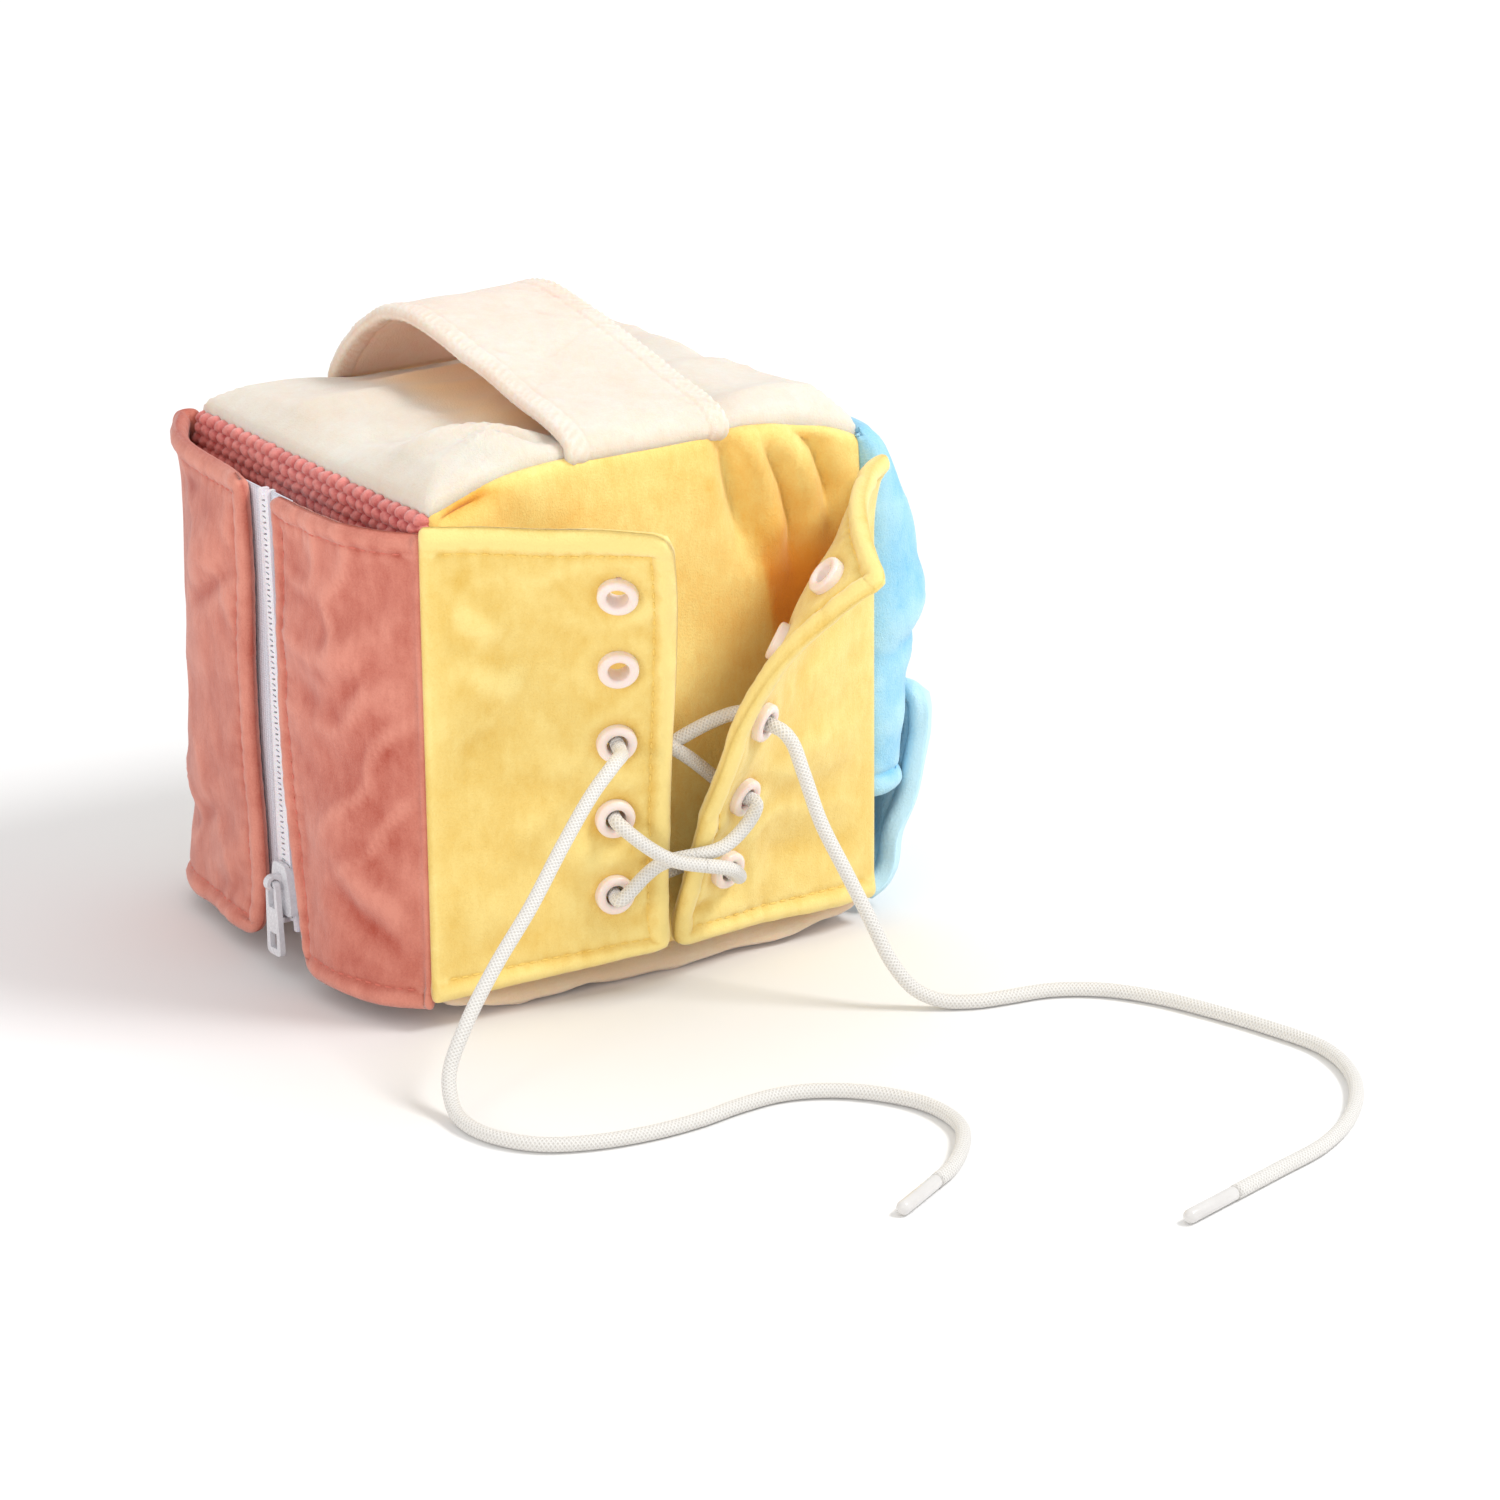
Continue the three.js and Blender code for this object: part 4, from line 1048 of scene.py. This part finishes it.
def spun(profile, steps, finish, name, body, place):
    bm = bmesh.new()
    verts = [bm.verts.new((r, 0, z)) for r, z in profile]
    edges = [bm.edges.new(pair) for pair in zip(verts, verts[1:])]
    bmesh.ops.spin(
        bm, geom=verts + edges, axis=(0, 0, 1), cent=(0, 0, 0), angle=2 * math.pi, steps=steps,
        use_merge=True,
    )
    bmesh.ops.remove_doubles(bm, verts=bm.verts, dist=1e-6)
    bmesh.ops.recalc_face_normals(bm, faces=bm.faces)
    bmesh.ops.transform(bm, matrix=place, verts=bm.verts)
    return newPiece(name, bm, finish, body)


def standing(spot, facing):
    return Matrix.Translation(spot) @ facing.to_track_quat("Z", "Y").to_matrix().to_4x4()


# A rolled flange on each face of the cloth, round a smooth bore
def eyeletProfile():
    bore, flange = eyelet["bore"], eyelet["flange"]
    middle = (bore + flange) / 2
    reach = (flange - bore) / 2
    points = []
    for side in (1, -1):
        for i in range(13):
            angle = math.pi * i / 12 * side
            z = side * flangeInner + math.sin(angle) * eyelet["flangeThickness"]
            points.append((middle - reach * math.cos(angle) * side, z))
    return points + points[:1]


def makeEyelets(flap):
    for number in range(1, 6):
        spot, facing = eyeletFrame(flap, number)
        name = "eyelet" + flap["name"].title() + str(number)
        body, place = flap["name"] + "_flap", standing(spot, facing)
        piece = spun(eyeletProfile(), 40, "eyelet", name, body, place)
        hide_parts("eyelet_" + flap["name"] + "_" + str(number))


# Lace


# Places given in millimetres; one without a height lies on the floor
def inMetres(*places):
    made = []
    for x, y, *height in places:
        z = height[0] / 1000 if height else lace["onFloor"]
        made.append(Vector((x / 1000, y / 1000, z)))
    return made


leftLaceRoute = inMetres(
    (-33, -99, 78), (-42, -102, 72), (-53, -105, 61), (-66, -109, 47), (-79, -112, 34),
    (-90, -115, 21), (-97, -118, 10), (-100, -125, 3.5), (-101, -135), (-98, -147), (-91, -156),
    (-79, -162), (-64, -165), (-49, -165), (-35, -163), (-22, -163), (-10, -168), (0, -178),
    (6, -191), (5, -206), (-3, -218), (-13, -227), (-20, -231),
)
rightLaceRoute = inMetres(
    (24.5, -98, 72.5), (25.8, -102, 64), (28, -107, 51), (31.5, -114, 38), (35, -120, 26),
    (39, -126, 13), (44, -130, 5.5), (50, -134.5, 2.5), (58, -139), (66, -141), (80, -144),
    (92, -152), (101, -165), (107, -180), (113, -200), (116, -219), (110, -238), (95, -256),
    (76, -268), (56, -274), (38, -279),
)


# A smooth line through points, with steps of about the given length
def smoothLine(points, step):
    line = [points[0]]
    padded = [points[0] * 2 - points[1]] + points + [points[-1] * 2 - points[-2]]
    for a, b, c, d in zip(padded, padded[1:], padded[2:], padded[3:]):
        times = [0.0]
        for p, q in ((a, b), (b, c), (c, d)):
            times.append(times[-1] + max((q - p).length, 1e-6) ** 0.5)
        count = max(2, round((c - b).length / step))
        for i in range(1, count + 1):
            t = mixed(times[1], times[2], i / count)

            def blended(p, q, low, high):
                return p.lerp(q, (t - times[low]) / (times[high] - times[low]))

            ab, bc, cd = blended(a, b, 0, 1), blended(b, c, 1, 2), blended(c, d, 2, 3)
            abc, bcd = blended(ab, bc, 0, 2), blended(bc, cd, 1, 3)
            line.append(blended(abc, bcd, 1, 2))
    return line


# A round cord along points: one ring of a circle, drawn along the line
def cordMesh(bm, line, radius, sides=14):
    uv = bm.loops.layers.uv.verify()
    tangent = (line[1] - line[0]).normalized()
    side = tangent.orthogonal().normalized()
    rings = []
    length = 0.0
    for k, spot in enumerate(line):
        ahead = line[min(k + 1, len(line) - 1)] - line[max(k - 1, 0)]
        turn = tangent.rotation_difference(ahead.normalized())
        tangent, side = ahead.normalized(), (turn @ side).normalized()
        if k:
            length += (spot - line[k - 1]).length
        basis = Matrix((side, tangent.cross(side), tangent)).transposed().to_4x4()
        place = Matrix.Translation(spot) @ basis
        ring = bmesh.ops.create_circle(bm, segments=sides, radius=radius, matrix=place)["verts"]
        rings.append((ring, length))
    for (low, near), (high, far) in zip(rings, rings[1:]):
        for i in range(sides):
            j = (i + 1) % sides
            face = bm.faces.new((low[i], low[j], high[j], high[i]))
            for loop, (u, v) in zip(face.loops, ((near, i), (near, i + 1), (far, i + 1), (far, i))):
                loop[uv].uv = (u, v / sides)
    for ring, _ in (rings[0], rings[-1]):
        bm.faces.new(ring)


def lineLength(line):
    return sum((b - a).length for a, b in zip(line, line[1:]))


def makeAglet(name, node, end, heading, body):
    radius, length = lace["agletRadius"], lace["agletLength"]
    tip = length - 0.0016
    profile = [(0, 0), (radius * 0.94, 0), (radius, 0.0004), (radius, tip)]
    profile += [(radius * math.cos(t), tip + 0.0016 * math.sin(t)) for t in (0.5, 1.0, 1.35)]
    profile += [(0, length)]
    spot = end + heading * lacing["gap"]
    piece = spun(profile, 24, "aglet", name, body, standing(spot, heading))
    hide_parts(node)
    return piece


def makeFreeLace(flap, route):
    exitSpot = offsetFrom(eyeletFrame(flap, 3), lace["start"])
    lead = offsetFrom(eyeletFrame(flap, 3), lace["start"] + lace["diameter"])
    line = smoothLine([exitSpot, lead] + route, 0.0018)
    bm = bmesh.new()
    cordMesh(bm, line, lace["diameter"] / 2)
    bmesh.ops.recalc_face_normals(bm, faces=bm.faces)
    name = flap["name"]
    body = name + "_flap"
    heading = (line[-1] - line[-2]).normalized()
    aglet = makeAglet("aglet" + name.title(), "aglet_" + name, line[-1], heading, body)
    piece = newPiece("laceFree" + name.title(), bm, "lace", body)
    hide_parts("lace_free_" + name)
    lineLength(line)


def lacedPoints():
    end = lace["start"] - lacing["gap"]
    reach = flangeOuter + lace["diameter"] / 2 + lacing["gap"]
    cross = lace["diameter"] + 2 * lacing["gap"]
    left = {n: eyeletFrame(leftFlap, n) for n in (3, 4, 5)}
    right = {n: eyeletFrame(rightFlap, n) for n in (3, 4, 5)}

    def between(a, b, lift, rise=0.0):
        return (a + b) / 2 + Vector((0, lift, rise))

    def inner(placed):
        return offsetFrom(placed, -reach)

    # Through an eyelet: outwards with an order of -1, inwards with 1
    def through(placed, order):
        return [offsetFrom(placed, reach), placed[0], inner(placed)][::order]

    def overEdge(flap, number, towards, lift):
        inFrom = (lacing["hem"] + lace["diameter"]) / 2
        share = lace["edgeShares"][flap["name"]]
        share = share if flap is leftFlap else 1 - share
        down = (number + (towards - number) * share - 1) * eyelet["pitch"]
        placed = surfaceFrame(flap, flap["width"] - inFrom, flapHeight - eyelet["first"] - down)
        clear = (lacing["hemThickness"] + lace["diameter"]) / 2 + 9 * lacing["gap"]
        return offsetFrom(placed, clear) - Vector((0, lift, 0))

    return [
        offsetFrom(left[3], end), left[3][0], inner(left[3]),
        between(inner(left[3]), inner(right[4]), -cross / 2, lace["archRise"]),
        *through(right[4], -1),
        overEdge(rightFlap, 4, 5, 0),
        overEdge(leftFlap, 5, 4, 0),
        *through(left[5], 1),
        between(inner(left[5]), inner(right[5]), -lace["diameter"] / 2),
        *through(right[5], -1),
        overEdge(rightFlap, 5, 4, cross),
        overEdge(leftFlap, 4, 5, cross),
        *through(left[4], 1),
        between(inner(left[4]), inner(right[3]), cross / 2, lace["archRise"]),
        inner(right[3]), right[3][0], offsetFrom(right[3], end),
    ]


# The laced stretch is cut where it crosses from flap to flap, into a left and a right half
def makeLacedStretch():
    line = smoothLine(lacedPoints(), 0.0012)
    seamX = lace["splitX"]
    halves = {"left": [], "right": []}
    current, side = [line[0]], "left" if line[0].x < seamX else "right"
    for a, b in zip(line, line[1:]):
        now = "left" if b.x < seamX else "right"
        if now != side:
            cut = a.lerp(b, (seamX - a.x) / (b.x - a.x))
            current.append(cut)
            halves[side].append(current)
            current, side = [cut], now
        current.append(b)
    halves[side].append(current)
    for name, stretches in halves.items():
        bm = bmesh.new()
        for stretch in stretches:
            cordMesh(bm, stretch, lace["diameter"] / 2)
        bmesh.ops.recalc_face_normals(bm, faces=bm.faces)
        piece = newPiece("laceLaced" + name.title(), bm, "lace", None)
        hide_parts("lace_laced")
        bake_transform(piece)


for flap, route in ((leftFlap, leftLaceRoute), (rightFlap, rightLaceRoute)):
    makeFreeLace(flap, route)
makeLacedStretch()
print("lace made")

makeBody()
print("body made")
for flap in (leftFlap, rightFlap):
    makeLacingFlap(flap)
    makeEyelets(flap)
print("lacing side made")


# Zip side

zipLine = {"plane": 0.0832, "footY": -0.006, "topY": -0.001, "footZ": 0.010, "topZ": 0.142}
zipFlap = {
    "thickness": 0.003,
    "hemThickness": 0.0038,
    "hem": 0.006,
    "bulge": 0.013,
    "bulgePower": 5,
    "reveal": 0.0075,
    "flare": 0.007,
    "flarePower": 9,
    "bottom": 0.005,
    "top": 0.141,
    "wrap": 0.0026,
    "rearTurn": math.pi,
    "frontTurn": 1.1,
    "rearUp": 0.0028,
    "rearOut": 0.0016,
    "frontBack": 0.002,
    "wave": 0.0012,
    "waveTurn": 8.5,
    "waveStart": 0.8,
    "seamCalm": 0.008,
    "edgeCalm": 0.010,
    "edgeLeast": 0.2,
    "corner": 0.006,
    "puff": 0.0006,
    "dent": 0.0007,
    "secondRow": 0.0026,
    "secondDent": 0.0003,
    "secondWidth": 0.0006,
    "secondFrom": 0.003,
    "short": 0.002,
    "flatWidth": 0.068,
}
zipTape = {
    "width": 0.0115,
    "half": 0.0003,
    "short": 0.0035,
    "offset": 0.0029,
    "spread": 0.0023,
    "spreadTop": 0.0315,
    "spreadReach": 0.015,
    "spreadPower": 0.7,
}


def zipLineY(z):
    share = (z - zipLine["footZ"]) / (zipLine["topZ"] - zipLine["footZ"])
    return mixed(zipLine["footY"], zipLine["topY"], share)


def zipFlapPoint(side, u, h):
    z = zipFlap["bottom"] + h
    rise = h / (zipFlap["top"] - zipFlap["bottom"])
    seamInset = zipFlap["hemThickness"] / 2
    seamY = block["half"].y - seamInset
    flare = zipFlap["flare"] * max(1 - rise, 0) ** zipFlap["flarePower"]
    reveal = zipFlap["reveal"] + (zipFlap["frontBack"] if side < 0 else 0)
    wave = zipFlap["wave"] * math.sin(rise * zipFlap["waveTurn"] + zipFlap["waveStart"])
    edge = zipLineY(z) + side * (reveal + flare) - wave
    seamX = -(block["half"].x + seamInset)
    if u < 0:
        most = zipFlap["rearTurn"] if side > 0 else zipFlap["frontTurn"]
        turn = min(-u * abs(side * seamY - edge) / zipFlap["wrap"], most)
        past = zipFlap["wrap"] * math.sin(turn)
        return Vector((seamX + zipFlap["wrap"] * (1 - math.cos(turn)), side * (seamY + past), z))
    y = mixed(side * seamY, edge, u)
    bulge = zipFlap["bulge"] * (1 - min(abs(y) / seamY, 1) ** zipFlap["bulgePower"])
    return Vector((seamX - bulge, y, z))


zipFlapFolds = {
    "rear": foldRelief([
        (30, 12, 55, 30, 6, 2), (12, 20, 34, 34, 5, -2), (20, 100, 44, 118, 6, 1.6),
        (24, 90, 50, 108, 4, -1.6), (10, 60, 46, 70, 8, -1.4), (4, 120, 30, 126, 4, -1.4),
    ]),
    "front": foldRelief([
        (10, 108, 30, 92, 5, 1.8), (6, 100, 26, 84, 4, -1.6), (4, 16, 30, 28, 5, -2),
        (2, 26, 26, 40, 5, 1.6), (14, 52, 48, 44, 8, 1.4), (30, 80, 52, 86, 6, -1.4),
    ]),
}


def makeZipFlap(side, name):
    width = block["half"].y - zipFlap["reveal"] - zipFlap["short"]
    height = zipFlap["top"] - zipFlap["bottom"]
    turned = zipFlap["wrap"] * (zipFlap["rearTurn"] if side > 0 else zipFlap["frontTurn"])
    rearShares = (1.0, 0.96, 0.9, 0.8, 0.7, 0.6, 0.5, 0.4, 0.3, 0.2, 0.1)
    frontShares = (1.0, 0.8, 0.56, 0.28)
    wrap = [-turned * share for share in (rearShares if side > 0 else frontShares)]
    across = wrap + stations(width, 0.0016, lowEdge=False, stitch=zipFlap["hem"])
    along = stations(height, 0.0017, stitch=zipFlap["hem"])
    hem, second = zipFlap["hem"], zipFlap["secondRow"]
    folds = zipFlapFolds[name]

    def halfAt(s, h, face):
        edge = min(width - s, h, height - h)
        full = hemHalf(edge, hem, zipFlap["hemThickness"], zipFlap["thickness"], zipFlap["puff"])
        secondDent = zipFlap["secondDent"] * groove(width - s, second, zipFlap["secondWidth"])
        sewn = zipFlap["dent"] * groove(edge, hem, dentWidth) * (1 if s > seamClear else 0)
        return full * dome(s - wrap[0], seamRound) - sewn - secondDent

    def relief(s, h):
        calm = min(max(s, 0) / zipFlap["seamCalm"], 1)
        calm *= min(max((width - s) / zipFlap["edgeCalm"], zipFlap["edgeLeast"]), 1)
        wave = creased(s, h, 11 + side, 0.0026, 0.0017, 0.0004)
        rows = puckered(h, width - s - hem, 4.0, 0.00025)
        rows += puckered(s, height - h - hem, 6.0, 0.0003)
        return side * ((folds(s, h) + wave) * calm + rows)

    def pointAt(s, h):
        s, h = rounded(s, h, wrap[0], width, height, 0.002, zipFlap["corner"])
        raised = max(h / height, 0) ** 10 * max(1 - s / width, 0) ** 2 if side > 0 else 0
        out = Vector((-zipFlap["rearOut"], 0, zipFlap["rearUp"])) * min(raised, 1)
        return zipFlapPoint(side, s / width, h) + out

    pieceName = "zipFlap" + name.title()
    piece = softSheet(pieceName, pointAt, across, along, halfAt, "coral", "block", relief)
    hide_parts("zip_flap_" + name)
    far, top, secondFrom = width - hem, height - hem, zipFlap["secondFrom"]
    lines = [
        runs((far, hem), (far, top, 60)),
        runs((sewnFrom, top), (far, top, 30)),
        runs((sewnFrom, hem), (far, hem, 30)),
        runs((width - second, secondFrom), (width - second, height - secondFrom, 60)),
    ]
    lift = zipFlap["thickness"] / 2 - threadSink
    sew(pieceName, "coralThread", "block", pointAt, relief, lines, (side,), lift)


def makeZipTape(side, name):
    low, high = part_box("zip_tape_" + name)
    height = high.z - low.z - zipTape["short"]
    width = zipTape["width"]

    # The tapes spread below the slider
    def pointAt(s, h):
        z = low.z + h
        below = max((zipTape["spreadTop"] - z) / zipTape["spreadReach"], 0)
        away = zipTape["offset"] + zipTape["spread"] * below ** zipTape["spreadPower"] + s
        return Vector((-zipLine["plane"], zipLineY(z) + side * away, z))

    def halfAt(s, h, face):
        return zipTape["half"]

    across = [width * i / 8 for i in range(9)]
    along = [height * i / 60 for i in range(61)]
    piece = softSheet("zipTape" + name.title(), pointAt, across, along, halfAt, "tape", "block")
    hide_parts("zip_tape_" + name)


for side, name in ((1, "rear"), (-1, "front")):
    makeZipFlap(side, name)
    makeZipTape(side, name)
    refinish("zip_teeth_" + name, "teeth")
for node in ("zip_slider", "zip_pull"):
    refinish(node, "slider")
print("zip side made")


# Side of overlapping flaps

overlap = {
    "seamX": 0.0741,
    "hemOut": 0.0101,
    "fullness": 0.0078,
    "closureGap": 2 * 0.0015 + 4 * 0.0003,
    "thickness": 0.004,
    "hemThickness": 0.0046,
    "hem": 0.007,
    "upperTop": 0.143,
    "edgeUp": 0.0008,
    "upperHem": 0.037,
    "curl": 0.014,
    "curlPower": 0.75,
    "lowerFoot": 0.007,
    "lowerHem": 0.066,
    "sideInset": 0.0023,
    "marginInset": 0.0012,
    "marginX": 0.0678,
    "marginTuck": 0.0019,
    "tuckFrom": 0.7,
    "corner": 0.009,
    "dent": 0.0009,
    "scallop": 0.0009,
    "scallopPitch": 0.0045,
    "scallopReach": 0.010,
    "seamCalm": 0.010,
    "sideRound": 0.0023,
    # rimReach and rimLeast spread a flap's painted highlight
    "rimReach": 0.009,
    "rimLeast": 0.4,
}
upperEdge = [(0.0702, 0.1442), (0.0722, 0.1453)]
upperShares = [
    (0, 0), (0, 0.13), (0, 0.25), (0.3, 0.32), (0.8, 0.39), (1, 0.5), (0.93, 0.62), (0.55, 0.78),
    (0.15, 0.88), (-0.5, 0.965),
]
lowerShares = [
    (0.19, 0.042), (0.39, 0.15), (0.55, 0.305), (0.74, 0.458), (0.9, 0.593), (0.995, 0.7),
    (1, 0.864), (1, 1),
]


def profileLine(points):
    line = smoothLine([Vector((x, 0, z)) for x, z in points], 0.0012)
    travelled = [0.0]
    for a, b in zip(line, line[1:]):
        travelled.append(travelled[-1] + (b - a).length)

    def at(distance):
        distance = min(max(distance, 0), travelled[-1])
        k = next((i for i, t in enumerate(travelled) if t >= distance), len(travelled) - 1)
        if k == 0:
            return line[0]
        share = (distance - travelled[k - 1]) / (travelled[k] - travelled[k - 1])
        return line[k - 1].lerp(line[k], share)

    return at, travelled[-1]


def makeBlueFlap(name, node, body, points, folds, outward, curl, rim=0.0):
    at, reach = profileLine(points)
    width = 2 * (block["half"].y - overlap["marginInset" if curl else "sideInset"])
    hem = overlap["hem"]
    across = stations(width, 0.0018, stitch=hem)
    along = stations(reach, 0.0018, lowEdge=False, stitch=hem)

    def halfAt(s, h, face):
        edge = reach - h if curl else min(s, width - s, reach - h)
        full = hemHalf(edge, hem, overlap["hemThickness"], overlap["thickness"])
        sewn = overlap["dent"] * groove(edge, hem, dentWidth)
        return full * dome(min(s, width - s), overlap["sideRound"]) - sewn

    # Margins with a curl turn back from the flap's profile to its seam
    def pointAt(s, h):
        if not curl and h > reach / 2:
            s, h = rounded(s, h, 0, width, reach, overlap["corner"], overlap["corner"])
        spot = at(h)
        y = s - width / 2
        past = (abs(y) - width / 2 + curl) / curl if curl else 0
        if past <= 0:
            return Vector((spot.x, y, spot.z))
        angle = min(past, 1) * math.pi / 2
        tuck = max(min(past, 1) - overlap["tuckFrom"], 0) / (1 - overlap["tuckFrom"])
        tucked = overlap["marginTuck"] * tuck**2
        power = overlap["curlPower"]
        y = math.copysign(width / 2 - tucked - curl + curl * math.sin(angle) ** power, y)
        x = mixed(overlap["marginX"], spot.x, max(math.cos(angle), 0) ** power)
        return Vector((x - max(past - 1, 0) * curl, y, spot.z))

    def relief(s, h):
        calm = min(h / overlap["seamCalm"], 1)
        wave = creased(s, h, 17 + outward, 0.0022, 0.0014, 0.0003)
        scallop = 0
        if not curl:
            scallop = overlap["scallop"] * math.sin(h / overlap["scallopPitch"] + outward)
            scallop *= bell(min(s, width - s), overlap["scallopReach"])
        rows = puckered(s, reach - h - hem, 8.0, 0.0004)
        return outward * ((folds(s, h) + wave + scallop) * calm + rows)

    middle = reach * 0.5
    flatWidth = lineLength([pointAt(s, middle) for s in across])

    # Painted light: the rim lightens the whole sheet, and more along its free edges
    def shade(s, h):
        edge = min(s, width - s, reach - h)
        return rim * (overlap["rimLeast"] + bell(edge, overlap["rimReach"]))

    # The flap without a curl takes the lit copy of the blue, for painted light
    finish = "blue" if curl else "litBlue"
    piece = softSheet(name, pointAt, across, along, halfAt, finish, body, relief, shade=shade)
    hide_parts(node)
    far, foot = width - hem, reach - hem
    lines = [runs((hem, foot), (far, foot, 60))]
    if not curl:
        lines += [runs((s, sewnFrom), (s, foot, 60)) for s in (hem, far)]
    lift = overlap["thickness"] / 2 - deepSink
    sew(name, "blueThread", body, pointAt, relief, lines, (outward,), lift)


def makeOverlapSide():
    seamX = overlap["seamX"]
    hemX = seamX + overlap["hemOut"]
    upperHeight = overlap["upperTop"] - overlap["upperHem"]
    upper = [
        (hemX + out * overlap["fullness"], overlap["upperHem"] + up * upperHeight)
        for out, up in upperShares
    ]
    upper = upperEdge + [(seamX, overlap["upperTop"] + overlap["edgeUp"])] + upper[::-1]
    lowerX = hemX + overlap["thickness"] + overlap["closureGap"]
    lower = [(seamX, overlap["lowerFoot"])] + [
        (mixed(seamX, lowerX, out), mixed(overlap["lowerFoot"], overlap["lowerHem"], up))
        for out, up in lowerShares
    ]
    upperFolds = foldRelief([
        (10, 8, 12, 32, 4.5, -3.4), (3, 70, 20, 50, 5, 2.4), (2, 78, 18, 62, 4, -2),
        (3, 100, 18, 84, 5, 2.2), (124, 60, 108, 40, 6, 2), (122, 10, 118, 36, 5, -2.8),
        (40, 10, 50, 50, 9, -2), (80, 12, 72, 60, 10, 2),
    ])
    lowerFolds = foldRelief([
        (4, 12, 24, 30, 5, 2), (128, 12, 104, 26, 6, 1.6), (50, 10, 56, 40, 10, 1.8),
        (90, 8, 84, 44, 9, -1.6),
    ])
    makeBlueFlap(
        "blueUpperFlap", "blue_upper_flap", "block", upper, upperFolds, -1, overlap["curl"]
    )
    makeBlueFlap(
        "blueLowerFlap", "blue_lower_flap", "lower_blue_flap", lower, lowerFolds, 1, 0, 1.6
    )
    for node in ("hook_patch", "loop_patch"):
        refinish(node, "patch")


makeOverlapSide()
print("overlap side made")


# Strap

strapShares = [(-0.53, 0.655), (0, 0.905), (0.33, 1), (0.52, 0.93), (0.74, 0.65), (0.89, 0.32)]
strapEnds = {
    "front": [(-0.0634, 0.1506), (-0.0656, 0.1524), (-0.0661, 0.1550), (-0.0640, 0.1578)],
    "back": [(0.0650, 0.1484), (0.0664, 0.1456), (0.0658, 0.1436)],
}


# The strap's line is drawn as x and z, and its x is the block's y
def makeStrap():
    halfY = block["half"].y
    arch = [(along * halfY, topSeam + strap["rise"] * up) for along, up in strapShares]
    at, reach = profileLine(strapEnds["front"] + arch + strapEnds["back"])
    width, hem = strap["width"], strap["hem"]
    across = stations(width, 0.0017, stitch=hem)
    along = [reach * i / 210 for i in range(211)]

    def pointAt(s, h):
        spot = at(h)
        return Vector((strap["offset"] + s - width / 2, spot.x, spot.z))

    # The two edges are rolled, and their pile lies in strands that lean along the strap
    def halfAt(s, h, face):
        edge = min(s, width - s)
        blend = unit((edge - hem) / strap["hemFade"])
        full = mixed(strap["edgeThickness"], strap["thickness"], blend) / 2
        wander = 0.7 * noise.noise(Vector((h * 160, s * 160, 3.0)))
        lie = (h + edge * strap["strandLean"]) / strap["strandPitch"] + wander
        strand = strap["strand"] * math.sin(lie * 2 * math.pi) * bell(edge, strap["strandReach"])
        tuck = mixed(strap["endShare"], 1, min(min(h, reach - h) / strap["endReach"], 1))
        sewn = strap["dent"] * groove(edge, hem, strap["dentWidth"])
        strand *= dome(edge, strap["strandRound"])
        return (full * dome(edge, strap["round"]) + strand - sewn) * tuck

    def relief(s, h):
        ends = min(min(h, reach - h) / strap["endCalm"], 1)
        rows = puckered(h, min(s, width - s) - hem, 9.0, 0.00018)
        return -(creased(s, h, 23, 0.0012, 0.0006, 0.0002) + rows) * ends

    piece = softSheet("carryingStrap", pointAt, across, along, halfAt, "cream", "block", relief)
    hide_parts("top_strap")
    bare = strap["bareEnd"]
    lines = [runs((s, bare), (s, reach - bare, 120)) for s in (hem, width - hem)]
    lift = strap["thickness"] / 2 - deepSink
    sew("carryingStrap", "creamThread", "block", pointAt, relief, lines, (1, -1), lift)


makeStrap()
print("strap made")


# Stage and light

stage = {
    "floor": 3.0,
    "tone": (0.9, 0.9, 0.9, 1),
    "shade": (0.75, 0.74, 0.73, 1),
    "shadeAt": (-0.01, -0.07, 0),
    "shadeReach": 0.2,
    "glow": 0.28,
    "near": 0.35,
    "far": 0.9,
    "daylight": 0.78,
}


# White paper with a painted shadow round the block's foot, and with more light of its own far away
def paperMaterial():
    material, place = newMaterial("floorPaper")
    away = place.distance((0, 0, 0))
    spread = ((away - stage["near"]) * (1 / (stage["far"] - stage["near"]))).clamped()
    clear = (place.distance(stage["shadeAt"]) * (1 / stage["shadeReach"])).smoothed()
    finishMaterial(place, {
        "Base Color": clear.between(stage["shade"], stage["tone"]),
        "Roughness": 0.9,
        "Specular IOR Level": 0.1,
        "Emission Color": spread.between((0.1, 0.1, 0.1, 1), (1, 1, 1, 1)),
        "Emission Strength": stage["glow"],
    })
    return material


def makeStage():
    bm = bmesh.new()
    bmesh.ops.create_grid(bm, x_segments=2, y_segments=2, size=stage["floor"])
    finishes["paper"] = paperMaterial()
    floor = newPiece("floor", bm, "paper", None)


def addLight(name, spot, aim, size, power, tint=(1, 1, 1)):
    data = bpy.data.lights.new(name, "AREA")
    data.shape = "DISK"
    data.size = size
    data.energy = power
    data.color = tint
    lamp = inScene(name, data)
    lamp.location = spot
    lamp.rotation_euler = (Vector(aim) - Vector(spot)).to_track_quat("-Z", "Y").to_euler()


makeStage()
world = bpy.data.worlds.new("studio")
world.use_nodes = True
daylight = world.node_tree.nodes["Background"].inputs
daylight["Color"].default_value = (1, 1, 1, 1)
daylight["Strength"].default_value = stage["daylight"]
bpy.context.scene.world = world
bpy.context.scene.view_settings.view_transform = "Standard"
addLight("key", (0.75, -0.75, 1.35), (0, 0, 0.07), 0.5, 15)
addLight("fill", (-1.2, -0.9, 0.5), (0, 0, 0.07), 1.2, 2.6)
addLight("low", (-0.75, -0.3, 0.24), (0, 0, 0.16), 0.2, 0.7, (1, 0.92, 0.84))
print("stage made")
